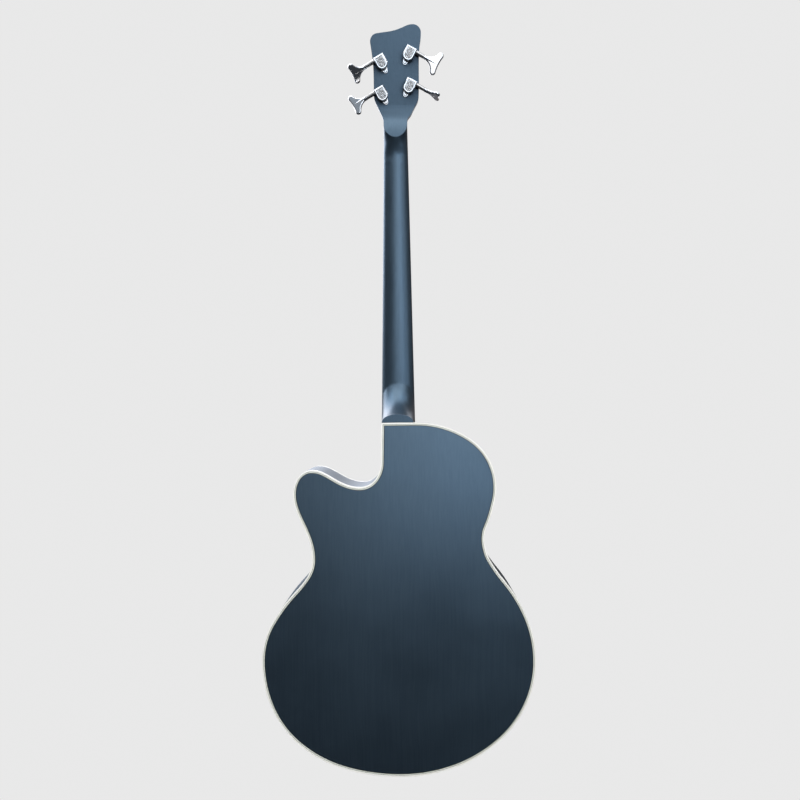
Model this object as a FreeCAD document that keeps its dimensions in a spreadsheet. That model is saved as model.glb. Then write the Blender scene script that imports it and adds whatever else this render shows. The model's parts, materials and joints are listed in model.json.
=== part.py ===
"""Acoustic bass guitar with a cutaway, as separate pieces in one frame.

Millimetres.  The origin is at the bridge-side edge of the nut, on the centre
line, where the fretboard is glued to the neck.  +Z runs up the neck to the
headstock, +Y is the playing side with the strings, +X is the bass side.
"""
import FreeCAD, Part
import Sketcher
import math
import os
import re
from types import SimpleNamespace

Vector = FreeCAD.Vector
Placement = FreeCAD.Placement
Rotation = FreeCAD.Rotation

os.makedirs("parts", exist_ok=True)
doc = FreeCAD.newDocument("acoustic_bass_guitar")

# Driving dimensions: name, size in millimetres or degrees, what it is
DIMENSIONS = (
    ("scale_length", 864.0, "nut edge to saddle"),
    ("joint_fret", 16.0, "fret at which the neck meets the body"),
    ("fret_count", 22.0, "number of frets"),
    ("nut_width", 41.0, "neck width at the nut"),
    ("joint_width", 57.6, "neck width at the body"),
    ("neck_depth_nut", 15.2, "neck without fretboard, at the nut"),
    ("neck_depth_joint", 18.0, "neck without fretboard, at the heel"),
    ("neck_side_height", 3.0, "straight part of the neck's side"),
    ("neck_fullness", 2.25, "roundness of the neck's section; an ellipse has 2"),
    ("fretboard_thickness", 6.0, "fretboard at its centre"),
    ("fretboard_radius", 305.0, "crown of the fretboard"),
    ("fretboard_overhang", 10.0, "fretboard beyond the last fret"),
    ("fret_width", 2.4, "crown of a fret along the neck"),
    ("fret_height", 1.1, "crown of a fret above the board"),
    ("fret_tang_width", 0.5, "tang of a fret"),
    ("fret_tang_depth", 1.6, "tang of a fret in the board"),
    ("fret_end_margin", 0.4, "fret end inside the board's side"),
    ("dot_diameter", 6.0, "position dot"),
    ("dot_depth", 1.5, "position dot in the board"),
    ("dot_spread", 20.5, "between the two dots at the octave"),
    ("nut_thickness", 5.0, "nut along the neck"),
    ("nut_rise", 3.4, "nut above the fretboard's centre"),
    ("nut_string_rise", 0.6, "string above the frets at the nut"),
    ("string_span_nut", 30.0, "first to last string at the nut"),
    ("string_span_bridge", 55.5, "first to last string at the saddle"),
    ("string_e_gauge", 2.6, "lowest string"),
    ("string_a_gauge", 2.1, "second string"),
    ("string_d_gauge", 1.6, "third string"),
    ("string_g_gauge", 1.1, "highest string"),
    ("string_clearance", 0.1, "free space round a string in a slot"),
    ("action", 2.5, "string above the middle fret"),
    ("pin_string_rise", 0.6, "string above the bridge's face at its pin"),
    ("ball_length", 5.0, "ball end of a string"),
    ("ball_diameter", 4.4, "ball end of a string"),
    ("body_length", 552.0, "neck joint to tail"),
    ("upper_bout_bass", 156.0, "centre line to edge"),
    ("upper_bout_bass_drop", 102.4, "below the body's top edge"),
    ("waist_bass", 135.5, "centre line to edge"),
    ("waist_bass_drop", 184.6, "below the body's top edge"),
    ("lower_bout_bass", 213.5, "centre line to edge"),
    ("lower_bout_drop", 373.0, "below the body's top edge"),
    ("lower_bout_treble", 217.0, "centre line to edge"),
    ("waist_treble", 136.5, "centre line to edge"),
    ("waist_treble_drop", 215.0, "below the body's top edge"),
    ("horn_side", 167.5, "centre line to the horn's outer edge"),
    ("horn_side_drop", 111.0, "below the body's top edge"),
    ("horn_tip", 138.0, "centre line to the horn's top"),
    ("horn_tip_drop", 74.4, "below the body's top edge"),
    ("cutaway_valley", 60.5, "centre line to the cutaway's lowest point"),
    ("cutaway_drop", 102.0, "below the body's top edge"),
    ("cutaway_wall", 27.3, "centre line to the cutaway's upright wall"),
    ("cutaway_wall_drop", 64.4, "lower end of the upright wall"),
    ("heel_corner", 26.0, "centre line to the cutaway's top corner"),
    ("shoulder_start", 29.5, "centre line to the start of the shoulder"),
    ("dome_radius", 4500.0, "radius of the domed back"),
    ("dome_drop", 406.0, "deepest point below the body's top edge"),
    ("body_depth", 118.3, "soundboard face to the deepest point"),
    ("soundboard_thickness", 3.0, "spruce top"),
    ("back_thickness", 3.0, "back plate"),
    ("rim_thickness", 2.4, "bent side"),
    ("binding_height", 7.0, "binding along the rim"),
    ("black_line_outer", 0.5, "purfling line beside the binding"),
    ("ivory_line", 1.4, "ivory purfling line"),
    ("black_line_inner", 1.0, "purfling line beside the plate"),
    ("purfling_depth", 1.5, "purfling in the back plate"),
    ("lining_width", 5.0, "lining inside the rim"),
    ("lining_height", 14.0, "lining along the rim"),
    ("neck_block_length", 52.0, "along the centre line"),
    ("neck_block_bass", 45.0, "centre line to the block's bass side"),
    ("tail_block_length", 20.0, "along the centre line"),
    ("tail_block_width", 76.0, "across"),
    ("brace_width", 8.0, "brace on the plate"),
    ("back_brace_height", 15.0, "back brace"),
    ("top_brace_height", 12.0, "top brace"),
    ("brace_margin", 0.4, "brace end to lining"),
    ("back_brace_first", 88.0, "back brace below the body's top edge"),
    ("back_brace_second", 178.0, "back brace below the body's top edge"),
    ("back_brace_third", 300.0, "back brace below the body's top edge"),
    ("back_brace_fourth", 430.0, "back brace below the body's top edge"),
    ("transverse_brace_gap", 12.0, "soundhole's edge to the middle of the transverse brace"),
    ("x_brace_end_gap", 62.4, "tail block to the ends of the crossed braces"),
    ("x_brace_angle", 42.0, "leg of the crossed braces from the centre line"),
    ("x_brace_drop", 258.0, "crossing below the body's top edge"),
    ("soundhole_radius", 50.0, "soundhole"),
    ("soundhole_drop", 168.0, "soundhole centre below the body's top edge"),
    ("rosette_inner", 55.0, "inner radius"),
    ("rosette_width", 7.0, "inlaid ring"),
    ("rosette_depth", 1.2, "inlaid ring"),
    ("bridge_length", 150.0, "across the body"),
    ("bridge_width", 34.0, "along the strings"),
    ("bridge_height", 8.6, "above the soundboard"),
    ("bridge_rounding", 3.0, "edges of the bridge"),
    ("saddle_length", 76.0, "across"),
    ("saddle_thickness", 3.2, "along the strings"),
    ("saddle_slot_depth", 5.0, "slot in the bridge"),
    ("saddle_setback", 11.0, "bridge's front edge to the saddle"),
    ("slot_clearance", 0.08, "round the saddle and the pickup strip"),
    ("pickup_thickness", 1.4, "strip under the saddle"),
    ("pin_setback", 13.0, "saddle to the row of pins"),
    ("pin_diameter", 5.2, "bridge pin at the bridge's face"),
    ("pin_tip_diameter", 4.6, "bridge pin at its lower end"),
    ("pin_length", 22.0, "bridge pin under its head"),
    ("pin_head_diameter", 8.0, "head of a bridge pin"),
    ("pin_head_height", 3.0, "head of a bridge pin"),
    ("pin_clearance", 0.05, "bridge pin in its hole"),
    ("plate_setback", 4.0, "row of pins to the middle of the bridge plate"),
    ("plate_length", 140.0, "bridge plate across the body"),
    ("plate_width", 44.0, "bridge plate along the strings"),
    ("plate_thickness", 2.5, "bridge plate"),
    ("heel_start", 9.9, "heel's first section behind the fretboard"),
    ("heel_fullness", 2.2, "roundness of the heel's section; an ellipse has 2"),
    ("heel_width", 51.0, "heel at its cap"),
    ("heel_cap_reach", 13.6, "heel cap from the body up the heel"),
    ("heel_cap_thickness", 2.3, "heel cap"),
    ("heel_cap_draft", 0.5, "heel cap's outer face inside its inner one"),
    ("tenon_root", 18.0, "width of the dovetail at the joint"),
    ("tenon_tip", 25.0, "width of the dovetail at its end"),
    ("tenon_length", 26.0, "dovetail into the block"),
    ("tenon_top", 9.0, "dovetail below the soundboard's face"),
    ("tenon_bottom", 80.0, "dovetail's lower end"),
    ("joint_clearance", 0.1, "dovetail in its mortise"),
    ("rod_width", 6.0, "truss rod"),
    ("rod_depth", 9.0, "truss rod"),
    ("rod_length", 470.0, "truss rod"),
    ("rod_setback", 8.0, "nut to the truss rod's flat bar"),
    ("rod_thread", 4.5, "threaded end of the truss rod"),
    ("rod_clearance", 0.1, "truss rod in its channel"),
    ("rod_axis_depth", 6.6, "truss rod's thread behind the fretboard"),
    ("rod_nut_size", 7.0, "truss-rod nut across its flats"),
    ("rod_nut_length", 9.0, "truss-rod nut"),
    ("rod_nut_gap", 1.5, "string nut to the truss-rod nut"),
    ("rod_nut_end", 1.0, "closed end of the truss-rod nut"),
    ("rod_nut_slack", 1.5, "end of the thread to the closed end of its nut"),
    ("rod_pocket_width", 13.0, "pocket for the truss-rod nut"),
    ("rod_pocket_length", 22.0, "pocket for the truss-rod nut"),
    ("rod_pocket_depth", 11.3, "pocket behind the fretboard's plane"),
    ("cover_width", 24.0, "truss-rod cover"),
    ("cover_length", 40.0, "truss-rod cover"),
    ("cover_thickness", 2.0, "truss-rod cover"),
    ("cover_foot", 2.5, "nut to the truss-rod cover"),
    ("cover_screw_margin", 3.2, "cover's edge to its screws"),
    ("cover_corner", 3.0, "corners of the cover"),
    ("headstock_tilt", 12.0, "headstock leans back, degrees"),
    ("headstock_thickness", 15.0, "headstock with its veneer"),
    ("veneer_thickness", 1.5, "veneer on the headstock's face"),
    ("headstock_low_bass", 40.9, "half width above the throat"),
    ("headstock_low_treble", 36.4, "half width above the throat"),
    ("headstock_low", 42.0, "height of the low half widths"),
    ("headstock_mid", 82.0, "height of the narrow stretch"),
    ("headstock_bass", 45.4, "half width at the top"),
    ("headstock_treble", 41.2, "half width at the top"),
    ("headstock_corner", 128.0, "height of the treble corner"),
    ("headstock_length", 156.0, "nut to the headstock's highest point"),
    ("headstock_peak", 31.5, "centre line to the highest point"),
    ("headstock_flare_treble", 28.4, "half width just above the nut"),
    ("headstock_flare_bass", 28.5, "half width just above the nut"),
    ("volute_tip", 29.5, "volute's tip below the nut"),
    ("volute_foot", 62.0, "foot of the volute's slope below the nut"),
    ("volute_crest", 13.0, "volute's slope ends this far below the nut"),
    ("volute_run_in", 10.0, "volute's sections begin this far below its foot"),
    ("volute_reach", 20.0, "volute's sections run up past the nut"),
    ("volute_rise", 14.0, "volute stands out behind the neck at its crest"),
    ("volute_side", 1.5, "volute is wider than the nut at its upper end"),
    ("volute_squareness", 5.5, "how much squarer its section is at the nut than at its tip"),
    ("volute_lean", 3.0, "volute's flat leans back at its tip, degrees"),
    ("head_blend_end", 27.0, "height at which the headstock's back is flat"),
    ("tuner_bass_low", 55.2, "height of the bass side's lower post"),
    ("tuner_bass_high", 107.2, "height of the bass side's upper post"),
    ("tuner_treble_low", 43.2, "height of the treble side's lower post"),
    ("tuner_treble_high", 94.2, "height of the treble side's upper post"),
    ("tuner_offset_bass", 24.6, "centre line to the bass posts"),
    ("tuner_offset_treble", 22.3, "centre line to the treble posts"),
    ("tuner_slant", 29.0, "key shafts slope down and out, degrees"),
    ("post_diameter", 12.7, "string post"),
    ("post_stub_diameter", 6.0, "post's lower end"),
    ("post_margin", 2.2, "post above its highest turn"),
    ("post_slot_depth", 6.2, "slot in the post's end"),
    ("post_slot_clearance", 0.6, "slot in the post's end, wider than the string"),
    ("post_room", 0.3, "headstock's hole round the post"),
    ("post_foot", 0.5, "post's stub below its base plate"),
    ("post_stub_rise", 0.3, "post's stub above its gear"),
    ("post_running_fit", 0.06, "round a turning post or shaft"),
    ("bushing_diameter", 17.0, "bushing in the headstock"),
    ("bushing_flange", 20.0, "bushing's flange"),
    ("bushing_flange_height", 1.8, "bushing's flange"),
    ("bushing_length", 9.0, "bushing in the headstock"),
    ("plate_radius", 9.6, "tuner's base plate round the post"),
    ("base_thickness", 1.5, "tuner's base plate"),
    ("tab_reach", 14.2, "post to the base plate's screw"),
    ("tab_radius", 3.4, "round end of the base plate"),
    ("screw_diameter", 2.6, "wood screw"),
    ("screw_length", 11.0, "wood screw under its head"),
    ("screw_head_diameter", 5.4, "wood screw's head"),
    ("screw_head_height", 1.6, "wood screw's head"),
    ("screw_clearance", 0.1, "wood screw in its hole"),
    ("housing_radius", 9.6, "round part of the tuner's housing"),
    ("housing_nose", 1.6, "post to the middle of the housing's round part"),
    ("housing_height", 8.0, "tuner's housing on its base plate"),
    ("housing_wall", 1.3, "tuner's housing"),
    ("housing_recess", 0.5, "sunk face of the tuner's housing"),
    ("housing_border", 1.3, "rim round the housing's sunk face"),
    ("housing_bevel", 1.4, "bevelled edge of the housing"),
    ("housing_taper", 0.6, "housing narrower at its worm end"),
    ("housing_room", 0.4, "free space round gear and worm"),
    ("worm_end_play", 0.3, "worm to the walls beside it"),
    ("gear_module", 0.6, "worm gear"),
    ("gear_teeth", 20.0, "teeth of the gear"),
    ("gear_thickness", 4.0, "gear along the post"),
    ("gear_lift", 0.8, "gear above the base plate"),
    ("worm_radius", 1.7, "worm's core"),
    ("thread_height", 0.75, "worm's thread above its core"),
    ("thread_width", 0.4, "worm's thread"),
    ("mesh_clearance", 0.2, "worm's core to the gear's teeth"),
    ("worm_length", 9.4, "worm between its bearings"),
    ("thread_run_out", 2.4, "bare core at the ends of the thread"),
    ("thread_root", 0.1, "thread sunk in the core, and wider there"),
    ("pivot_radius", 1.2, "worm's inner pivot"),
    ("pivot_length", 1.4, "worm's inner pivot"),
    ("key_shaft_diameter", 5.0, "key's shaft"),
    ("key_collar_diameter", 7.6, "tapering collar beside the housing"),
    ("key_collar_length", 15.2, "collar along the shaft"),
    ("key_collar_end_diameter", 6.4, "collar beside the key"),
    ("key_collar_gap", 0.4, "housing to the collar"),
    ("key_shaft_grip", 6.0, "shaft inside the key"),
    ("key_socket_length", 25.0, "key's socket, running out as a ridge along the key"),
    ("key_reach", 49.4, "post to the lobes of the key"),
    ("key_lobe_radius", 5.0, "lobe of the key"),
    ("key_lobe_offset", 14.4, "lobe's centre beside the shaft"),
    ("key_thickness", 5.0, "key"),
    ("key_rounding", 2.2, "edges of the key"),
    ("key_stem", 26.5, "post to the start of the key"),
    ("key_stem_half", 3.2, "half width of the key's flat at its start"),
    ("key_stem_radius", 3.7, "key where it takes the shaft"),
    ("key_socket_end_radius", 2.4, "far end of the key's ridge"),
    ("key_socket_lip", 1.0, "socket in front of the key's flat"),
    ("key_shaft_fit", 0.02, "shaft in the key"),
    ("winding_turns", 3.0, "string turns on a post"),
    ("winding_gap", 0.6, "between turns, and under the first"),
    ("winding_rise", 4.6, "lowest turn above the headstock's face"),
    ("post_string_gap", 0.3, "string to the post"),
    ("jack_diameter", 12.0, "barrel of the output jack"),
    ("jack_bore", 6.55, "bore for a 6.35 mm plug"),
    ("jack_length", 44.0, "barrel inside the body"),
    ("jack_depth", 58.0, "jack behind the soundboard's face"),
    ("strap_neck_diameter", 10.5, "strap button's neck"),
    ("strap_button_diameter", 17.0, "strap button's rim"),
    ("strap_button_length", 13.0, "strap button outside the rim"),
    ("strap_flange_thickness", 2.6, "strap button's flange on the rim"),
    ("strap_rim_thickness", 3.25, "strap button's rim"),
    ("jack_end", 2.0, "closed end of the jack's barrel"),
    ("jack_nut_size", 16.0, "jack's inner nut across its flats"),
    ("jack_nut_thickness", 3.0, "jack's inner nut"),
)

sheet = doc.addObject("Spreadsheet::Sheet", "Dims")
for row, (alias, size, note) in enumerate(DIMENSIONS, start=1):
    sheet.set("A%d" % row, note)
    sheet.set("B%d" % row, str(size))
    sheet.setAlias("B%d" % row, alias)
doc.recompute()
d = SimpleNamespace(**{alias: float(sheet.get(alias)) for alias, size, note in DIMENSIONS})

pieces = []


# Helpers for document objects

def bind(item, **sizes):
    """Tie properties of an object to the sheet; each size is written in sheet names."""
    for name, text in sizes.items():
        item.setExpression(name, re.sub(r"\b[a-z][a-z_]+\b(?!\()", lambda word: "Dims." + word.group(), text))


def at(x, y, z, rotation=None):
    """A placement at a point, turned or not."""
    return Placement(Vector(x, y, z), rotation or Rotation())


def turned(axis, angle):
    """A rotation by degrees about an axis."""
    return Rotation(Vector(*axis), angle)


def box(name, length, width, height, place):
    """A block whose three sides are expressions in sheet names."""
    item = doc.addObject("Part::Box", name)
    bind(item, Length=length, Width=width, Height=height)
    item.Placement = place
    return item


def cylinder(name, radius, height, place):
    """A cylinder whose radius and height are expressions in sheet names."""
    item = doc.addObject("Part::Cylinder", name)
    bind(item, Radius=radius, Height=height)
    item.Placement = place
    return item


def cone(name, radius_low, radius_high, height, place):
    """A cone whose sizes are expressions in sheet names."""
    item = doc.addObject("Part::Cone", name)
    bind(item, Radius1=radius_low, Radius2=radius_high, Height=height)
    item.Placement = place
    return item


def cut(name, base, tool):
    """One object less another."""
    item = doc.addObject("Part::Cut", name)
    item.Base = base
    item.Tool = tool
    return item


def common(name, base, tool):
    """What two objects share."""
    item = doc.addObject("Part::Common", name)
    item.Base = base
    item.Tool = tool
    return item


def fuse(name, parts):
    """Several objects as one solid."""
    item = doc.addObject("Part::MultiFuse", name)
    item.Shapes = parts
    item.Refine = True
    return item


def group(name, parts):
    """Several objects side by side in one node."""
    item = doc.addObject("Part::Compound", name)
    item.Links = parts
    return item


def formed(name, shape, place=None):
    """An object whose shape is worked out by Part's own functions."""
    item = doc.addObject("Part::Feature", name)
    item.Shape = shape
    if place:
        item.Placement = place
    return item


def piece(label, item):
    """Name an object as one sub-part of the guitar."""
    item.Label = label
    pieces.append(item)
    return item


def new_body(name, place):
    """An empty body at its place."""
    body = doc.addObject("PartDesign::Body", name)
    body.Placement = place
    return body


def new_sketch(body, name, role, offset=None):
    """A sketch on one of the body's own origin planes."""
    sketch = body.newObject("Sketcher::SketchObject", name)
    plane = [item for item in body.Origin.OriginFeatures if item.Role == role][0]
    sketch.AttachmentSupport = (plane, "")
    sketch.MapMode = "FlatFace"
    if offset:
        sketch.AttachmentOffset = offset
    return sketch


def sketch_rectangle(sketch, width, height):
    """A rectangle centred on the sketch's origin, bound to the sheet."""
    corners = [Vector(-5, -5, 0), Vector(5, -5, 0), Vector(5, 5, 0), Vector(-5, 5, 0)]
    for index in range(4):
        sketch.addGeometry(Part.LineSegment(corners[index], corners[(index + 1) % 4]))
    for index in range(4):
        sketch.addConstraint(Sketcher.Constraint("Coincident", index, 2, (index + 1) % 4, 1))
    for index, kind in enumerate(("Horizontal", "Vertical", "Horizontal", "Vertical")):
        sketch.addConstraint(Sketcher.Constraint(kind, index))
    sketch.addConstraint(Sketcher.Constraint("Symmetric", 0, 1, 2, 1, -1, 1))
    wide = sketch.addConstraint(Sketcher.Constraint("DistanceX", 0, 1, 0, 2, 10.0))
    high = sketch.addConstraint(Sketcher.Constraint("DistanceY", 1, 1, 1, 2, 10.0))
    bind(sketch, **{"Constraints[%d]" % wide: width, "Constraints[%d]" % high: height})


def sketch_circle(sketch, radius):
    """A circle about the sketch's origin, bound to the sheet."""
    sketch.addGeometry(Part.Circle(Vector(0, 0, 0), Vector(0, 0, 1), 5.0))
    sketch.addConstraint(Sketcher.Constraint("Coincident", 0, 3, -1, 1))
    size = sketch.addConstraint(Sketcher.Constraint("Radius", 0, 5.0))
    bind(sketch, **{"Constraints[%d]" % size: radius})


def pad(body, name, sketch, length, backwards=False):
    """A pad on a sketch."""
    item = body.newObject("PartDesign::Pad", name)
    item.Profile = sketch
    item.Reversed = backwards
    bind(item, Length=length)
    return item


def pocket(body, name, sketch, length):
    """A pocket cut equally to both sides of its sketch."""
    item = body.newObject("PartDesign::Pocket", name)
    item.Profile = sketch
    item.Midplane = True
    bind(item, Length=length)
    return item


# Helpers for plane curves; a heading is the direction of travel in degrees

def heading_vector(heading):
    """The unit vector of a heading in the plane."""
    return Vector(math.cos(math.radians(heading)), math.sin(math.radians(heading)), 0)


def arc_middle(start, tangent, end):
    """The middle point of the arc that leaves start along tangent and reaches end."""
    chord = end - start
    along = Vector(chord).normalize()
    across = tangent - along * tangent.dot(along)
    if across.Length < 1e-7:
        return None
    turn = tangent.getAngle(along)
    return start + chord * 0.5 + across.normalize() * (chord.Length / 2 * math.tan(turn / 2))


def arc_edge(start, tangent, end):
    """An arc from its start, first direction and end, or a line where it doesn't turn."""
    middle = arc_middle(start, tangent, end)
    if middle is None:
        return Part.LineSegment(start, end).toShape()
    return Part.Arc(start, middle, end).toShape()


def arc_end_tangent(start, tangent, end):
    """The direction in which that arc arrives."""
    along = Vector(end - start).normalize()
    return along * (2 * tangent.dot(along)) - tangent


def biarc_joint(start, tangent_in, end, tangent_out):
    """The joint of two arcs that meet with one direction and equal tangent lengths."""
    chord = end - start
    both = tangent_in + tangent_out
    factor = 2 * (1 - tangent_in.dot(tangent_out))
    reach = chord.dot(both)
    if factor < 1e-9:
        length = chord.dot(chord) / (4 * chord.dot(tangent_out))
    else:
        length = (-reach + math.sqrt(reach * reach + factor * chord.dot(chord))) / factor
    return (start + end + (tangent_in - tangent_out) * length) * 0.5


def biarc_edges(start, tangent_in, end, tangent_out):
    """Two arcs from start to end with the given directions."""
    joint = biarc_joint(start, tangent_in, end, tangent_out)
    joint_tangent = arc_end_tangent(start, tangent_in, joint)
    return [arc_edge(start, tangent_in, joint), arc_edge(joint, joint_tangent, end)]


def between(low, high, share_x, share_z, heading):
    """A point of an outline at given shares of the way between two others."""
    x = low[0] + (high[0] - low[0]) * share_x
    z = low[1] + (high[1] - low[1]) * share_z
    return (x, z, heading)


def circle_of(start, tangent, end):
    """Centre and signed radius of an arc in the plane; positive turns left."""
    chord = end - start
    side = Vector(-tangent.y, tangent.x, 0)
    radius = chord.dot(chord) / (2 * chord.dot(side))
    return start + side * radius, radius


# The neck line

def fret_distance(number):
    """Distance of a fret from the nut along the string."""
    return d.scale_length * (1 - 2 ** (-number / 12))


joint_z = -fret_distance(d.joint_fret)
saddle_z = -d.scale_length
board_end_z = -fret_distance(d.fret_count) - d.fretboard_overhang
tail_z = joint_z - d.body_length


def neck_half_width(z):
    """Half the width of neck and fretboard at a height."""
    return d.nut_width / 2 + (d.joint_width - d.nut_width) / 2 * z / joint_z


def neck_depth(z):
    """Depth of the neck behind the fretboard at a height."""
    return d.neck_depth_nut + (d.neck_depth_joint - d.neck_depth_nut) * z / joint_z


# Outline of the body

def outline_nodes():
    """Points and headings of the outline, clockwise from the cutaway's top corner."""
    top = joint_z
    bout = (d.upper_bout_bass, top - d.upper_bout_bass_drop, -90)
    waist = (d.waist_bass, top - d.waist_bass_drop, -90)
    lower = (d.lower_bout_bass, top - d.lower_bout_drop, -90)
    tail = (0, tail_z, 180)
    lower_treble = (-d.lower_bout_treble, top - d.lower_bout_drop, 90)
    waist_treble = (-d.waist_treble, top - d.waist_treble_drop, 90)
    horn_side = (-d.horn_side, top - d.horn_side_drop, 90)
    horn_tip = (-d.horn_tip, top - d.horn_tip_drop, 0)
    valley = (-d.cutaway_valley, top - d.cutaway_drop, 0)
    wall_turn = math.degrees(math.atan2(d.cutaway_wall_drop, d.cutaway_wall - d.heel_corner))
    return [
        (d.shoulder_start, top, 0),
        bout,
        between(bout, waist, 0.44, 0.545, -107.5),
        waist,
        between(waist, lower, 0.40, 0.35, -50.5),
        lower,
        between(lower, tail, 0.272, 0.693, -139.5),
        tail,
        between(tail, lower_treble, 0.75, 0.295, 139),
        lower_treble,
        between(lower_treble, waist_treble, 0.67, 0.685, 46),
        waist_treble,
        between(waist_treble, horn_side, 0.54, 0.543, 117.5),
        horn_side,
        horn_tip,
        between(horn_tip, valley, 0.475, 0.52, -32),
        valley,
        (-d.cutaway_wall, top - d.cutaway_wall_drop, wall_turn),
    ]


def outline_arcs():
    """The outline's arcs as start, direction and end."""
    arcs = []
    nodes = outline_nodes()
    for (x0, z0, heading_in), (x1, z1, heading_out) in zip(nodes, nodes[1:]):
        start = Vector(x0, z0, 0)
        end = Vector(x1, z1, 0)
        tangent_in = heading_vector(heading_in)
        joint = biarc_joint(start, tangent_in, end, heading_vector(heading_out))
        arcs.append((start, tangent_in, joint))
        arcs.append((joint, arc_end_tangent(start, tangent_in, joint), end))
    return arcs


OUTLINE_ARCS = outline_arcs()


def outline_wire(inset, y):
    """The outline moved inwards by a distance, as a wire in a plane of constant y."""
    def lift(point):
        return Vector(point.x, y, point.y)

    edges = []
    for start, tangent, end in OUTLINE_ARCS:
        centre, radius = circle_of(start, tangent, end)
        share = (radius + inset) / radius
        middle = arc_middle(start, tangent, end)
        points = [centre + (point - centre) * share for point in (start, middle, end)]
        edges.append(Part.Arc(*[lift(point) for point in points]).toShape())
    first = edges[0].Vertexes[0].Point
    last = edges[-1].Vertexes[1].Point
    rise = Vector(d.cutaway_wall - d.heel_corner, d.cutaway_wall_drop, 0)
    corner_z = joint_z - inset
    corner = Vector(last.x + rise.x * (corner_z - last.z) / rise.y, y, corner_z)
    edges.append(Part.LineSegment(last, corner).toShape())
    edges.append(Part.LineSegment(corner, first).toShape())
    return Part.Wire(edges)


def outline_prism(inset, y_low, y_high):
    """The outline as a solid between two depths."""
    face = Part.Face(outline_wire(inset, y_low))
    return face.extrude(Vector(0, y_high - y_low, 0))


dome_centre = Vector(0, d.dome_radius - d.body_depth, joint_z - d.dome_drop)
deep = -2 * d.body_depth


def ball(inset):
    """The sphere whose face is the back's outer face, moved inwards."""
    return Part.makeSphere(d.dome_radius - inset, dome_centre)


def back_depth(x, z):
    """The y of the back's outer face over a point."""
    aside = x ** 2 + (z - dome_centre.z) ** 2
    return dome_centre.y - math.sqrt(d.dome_radius ** 2 - aside)


def region(x=(-d.body_length, d.body_length), y=(-d.body_length, d.body_length),
           z=(tail_z - d.body_length, d.body_length)):
    """The space between given limits, for cutting and trimming; without limits, all of it."""
    size = (x[1] - x[0], y[1] - y[0], z[1] - z[0])
    return Part.makeBox(*size, Vector(x[0], y[0], z[0]))


# Strings: places over nut, saddle and pins

STRING_GAUGES = {
    "e": d.string_e_gauge,
    "a": d.string_a_gauge,
    "d": d.string_d_gauge,
    "g": d.string_g_gauge,
}


def across(index, span):
    """The x of a string, from the bass side, in a row of four."""
    return span * (0.5 - index / 3)


fret_top = d.fretboard_thickness + d.fret_height
nut_string_y = fret_top + d.nut_string_rise
saddle_string_y = 2 * (fret_top + d.action) - nut_string_y
pin_z = saddle_z - d.pin_setback


def crown_drop(x):
    """How far the crowned fretboard lies below its centre at a place across."""
    return d.fretboard_radius - math.sqrt(d.fretboard_radius ** 2 - x ** 2)


# Headstock frame: x across, y up along the face, z from the face towards the back

head_frame = at(0, 0, d.nut_thickness, turned((1, 0, 0), 90 + d.headstock_tilt))

TUNERS = {
    "e": (d.tuner_offset_bass, d.tuner_bass_low, 1, 88.0),
    "a": (d.tuner_offset_bass, d.tuner_bass_high, 1, 3.0),
    "d": (-d.tuner_offset_treble, d.tuner_treble_high, -1, -46.0),
    "g": (-d.tuner_offset_treble, d.tuner_treble_low, -1, 20.0),
}


def tuner_side(name):
    """1 for a tuner on the bass side, -1 on the treble side."""
    return TUNERS[name][2]


def tuner_frame(name):
    """The tuner's frame: origin on the headstock's back at the post, z outwards."""
    x, height, side, key_turn = TUNERS[name]
    local = at(x, height, d.headstock_thickness, turned((0, 0, 1), -d.tuner_slant * side))
    return head_frame.multiply(local)


# String paths

# Bend of a string over its pin, saddle and nut, in string diameters
STRING_BENDS = (1.6, 8.0, 8.0)
# Points taken along each arc of a winding when its turns are compared
GAP_SAMPLES = 8


def cord_edges(points, radii):
    """Straight runs through points, with an arc of its own radius at each inner point."""
    edges = []
    previous = points[0]
    for index in range(1, len(points) - 1):
        corner = points[index]
        incoming = Vector(corner - points[index - 1]).normalize()
        outgoing = Vector(points[index + 1] - corner).normalize()
        length = radii[index - 1] * math.tan(incoming.getAngle(outgoing) / 2)
        start = corner - incoming * length
        end = corner + outgoing * length
        edges.append(Part.LineSegment(previous, start).toShape())
        edges.append(arc_edge(start, incoming, end))
        previous = end
    return edges, previous


def winding_edges(name):
    """The turns of a string on its post and where they start, in headstock coordinates.

    A helix of quarter turns, each as two arcs in space, which rises from the
    lowest turn towards the free end of the post.
    """
    x, height, side, key_turn = TUNERS[name]
    index = "eadg".index(name)
    gauge = STRING_GAUGES[name]
    radius = (d.post_diameter + gauge) / 2 + d.post_string_gap
    pitch = gauge + d.winding_gap
    nut_point = head_frame.inverse().multVec(
        Vector(across(index, d.string_span_nut), nut_string_y + gauge / 2, d.nut_thickness / 2))
    gap_x = x - nut_point.x
    gap_y = height - nut_point.y
    line = math.atan2(gap_x, gap_y)
    swing = math.asin(radius / math.hypot(gap_x, gap_y))
    lean = line - side * swing
    start_angle = math.degrees(-lean) + (180 if side > 0 else 0)
    base = -d.winding_rise - gauge / 2

    def helix(turns):
        angle = math.radians(start_angle - side * 360 * turns)
        return Vector(x + radius * math.cos(angle), height + radius * math.sin(angle), base - pitch * turns)

    def helix_tangent(turns):
        angle = math.radians(start_angle - side * 360 * turns)
        speed = 2 * math.pi * radius * side
        return Vector(speed * math.sin(angle), -speed * math.cos(angle), -pitch).normalize()

    edges = []
    quarters = int(round(d.winding_turns * 4))
    for quarter in range(quarters):
        low = quarter / 4
        high = (quarter + 1) / 4
        edges += biarc_edges(helix(low), helix_tangent(low), helix(high), helix_tangent(high))
    finish = helix(quarters / 4)
    tail = finish + helix_tangent(quarters / 4) * gauge
    edges.append(Part.LineSegment(finish, tail).toShape())
    top = base - pitch * quarters / 4
    return edges, helix(0), helix_tangent(0), top - gauge / 2


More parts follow.
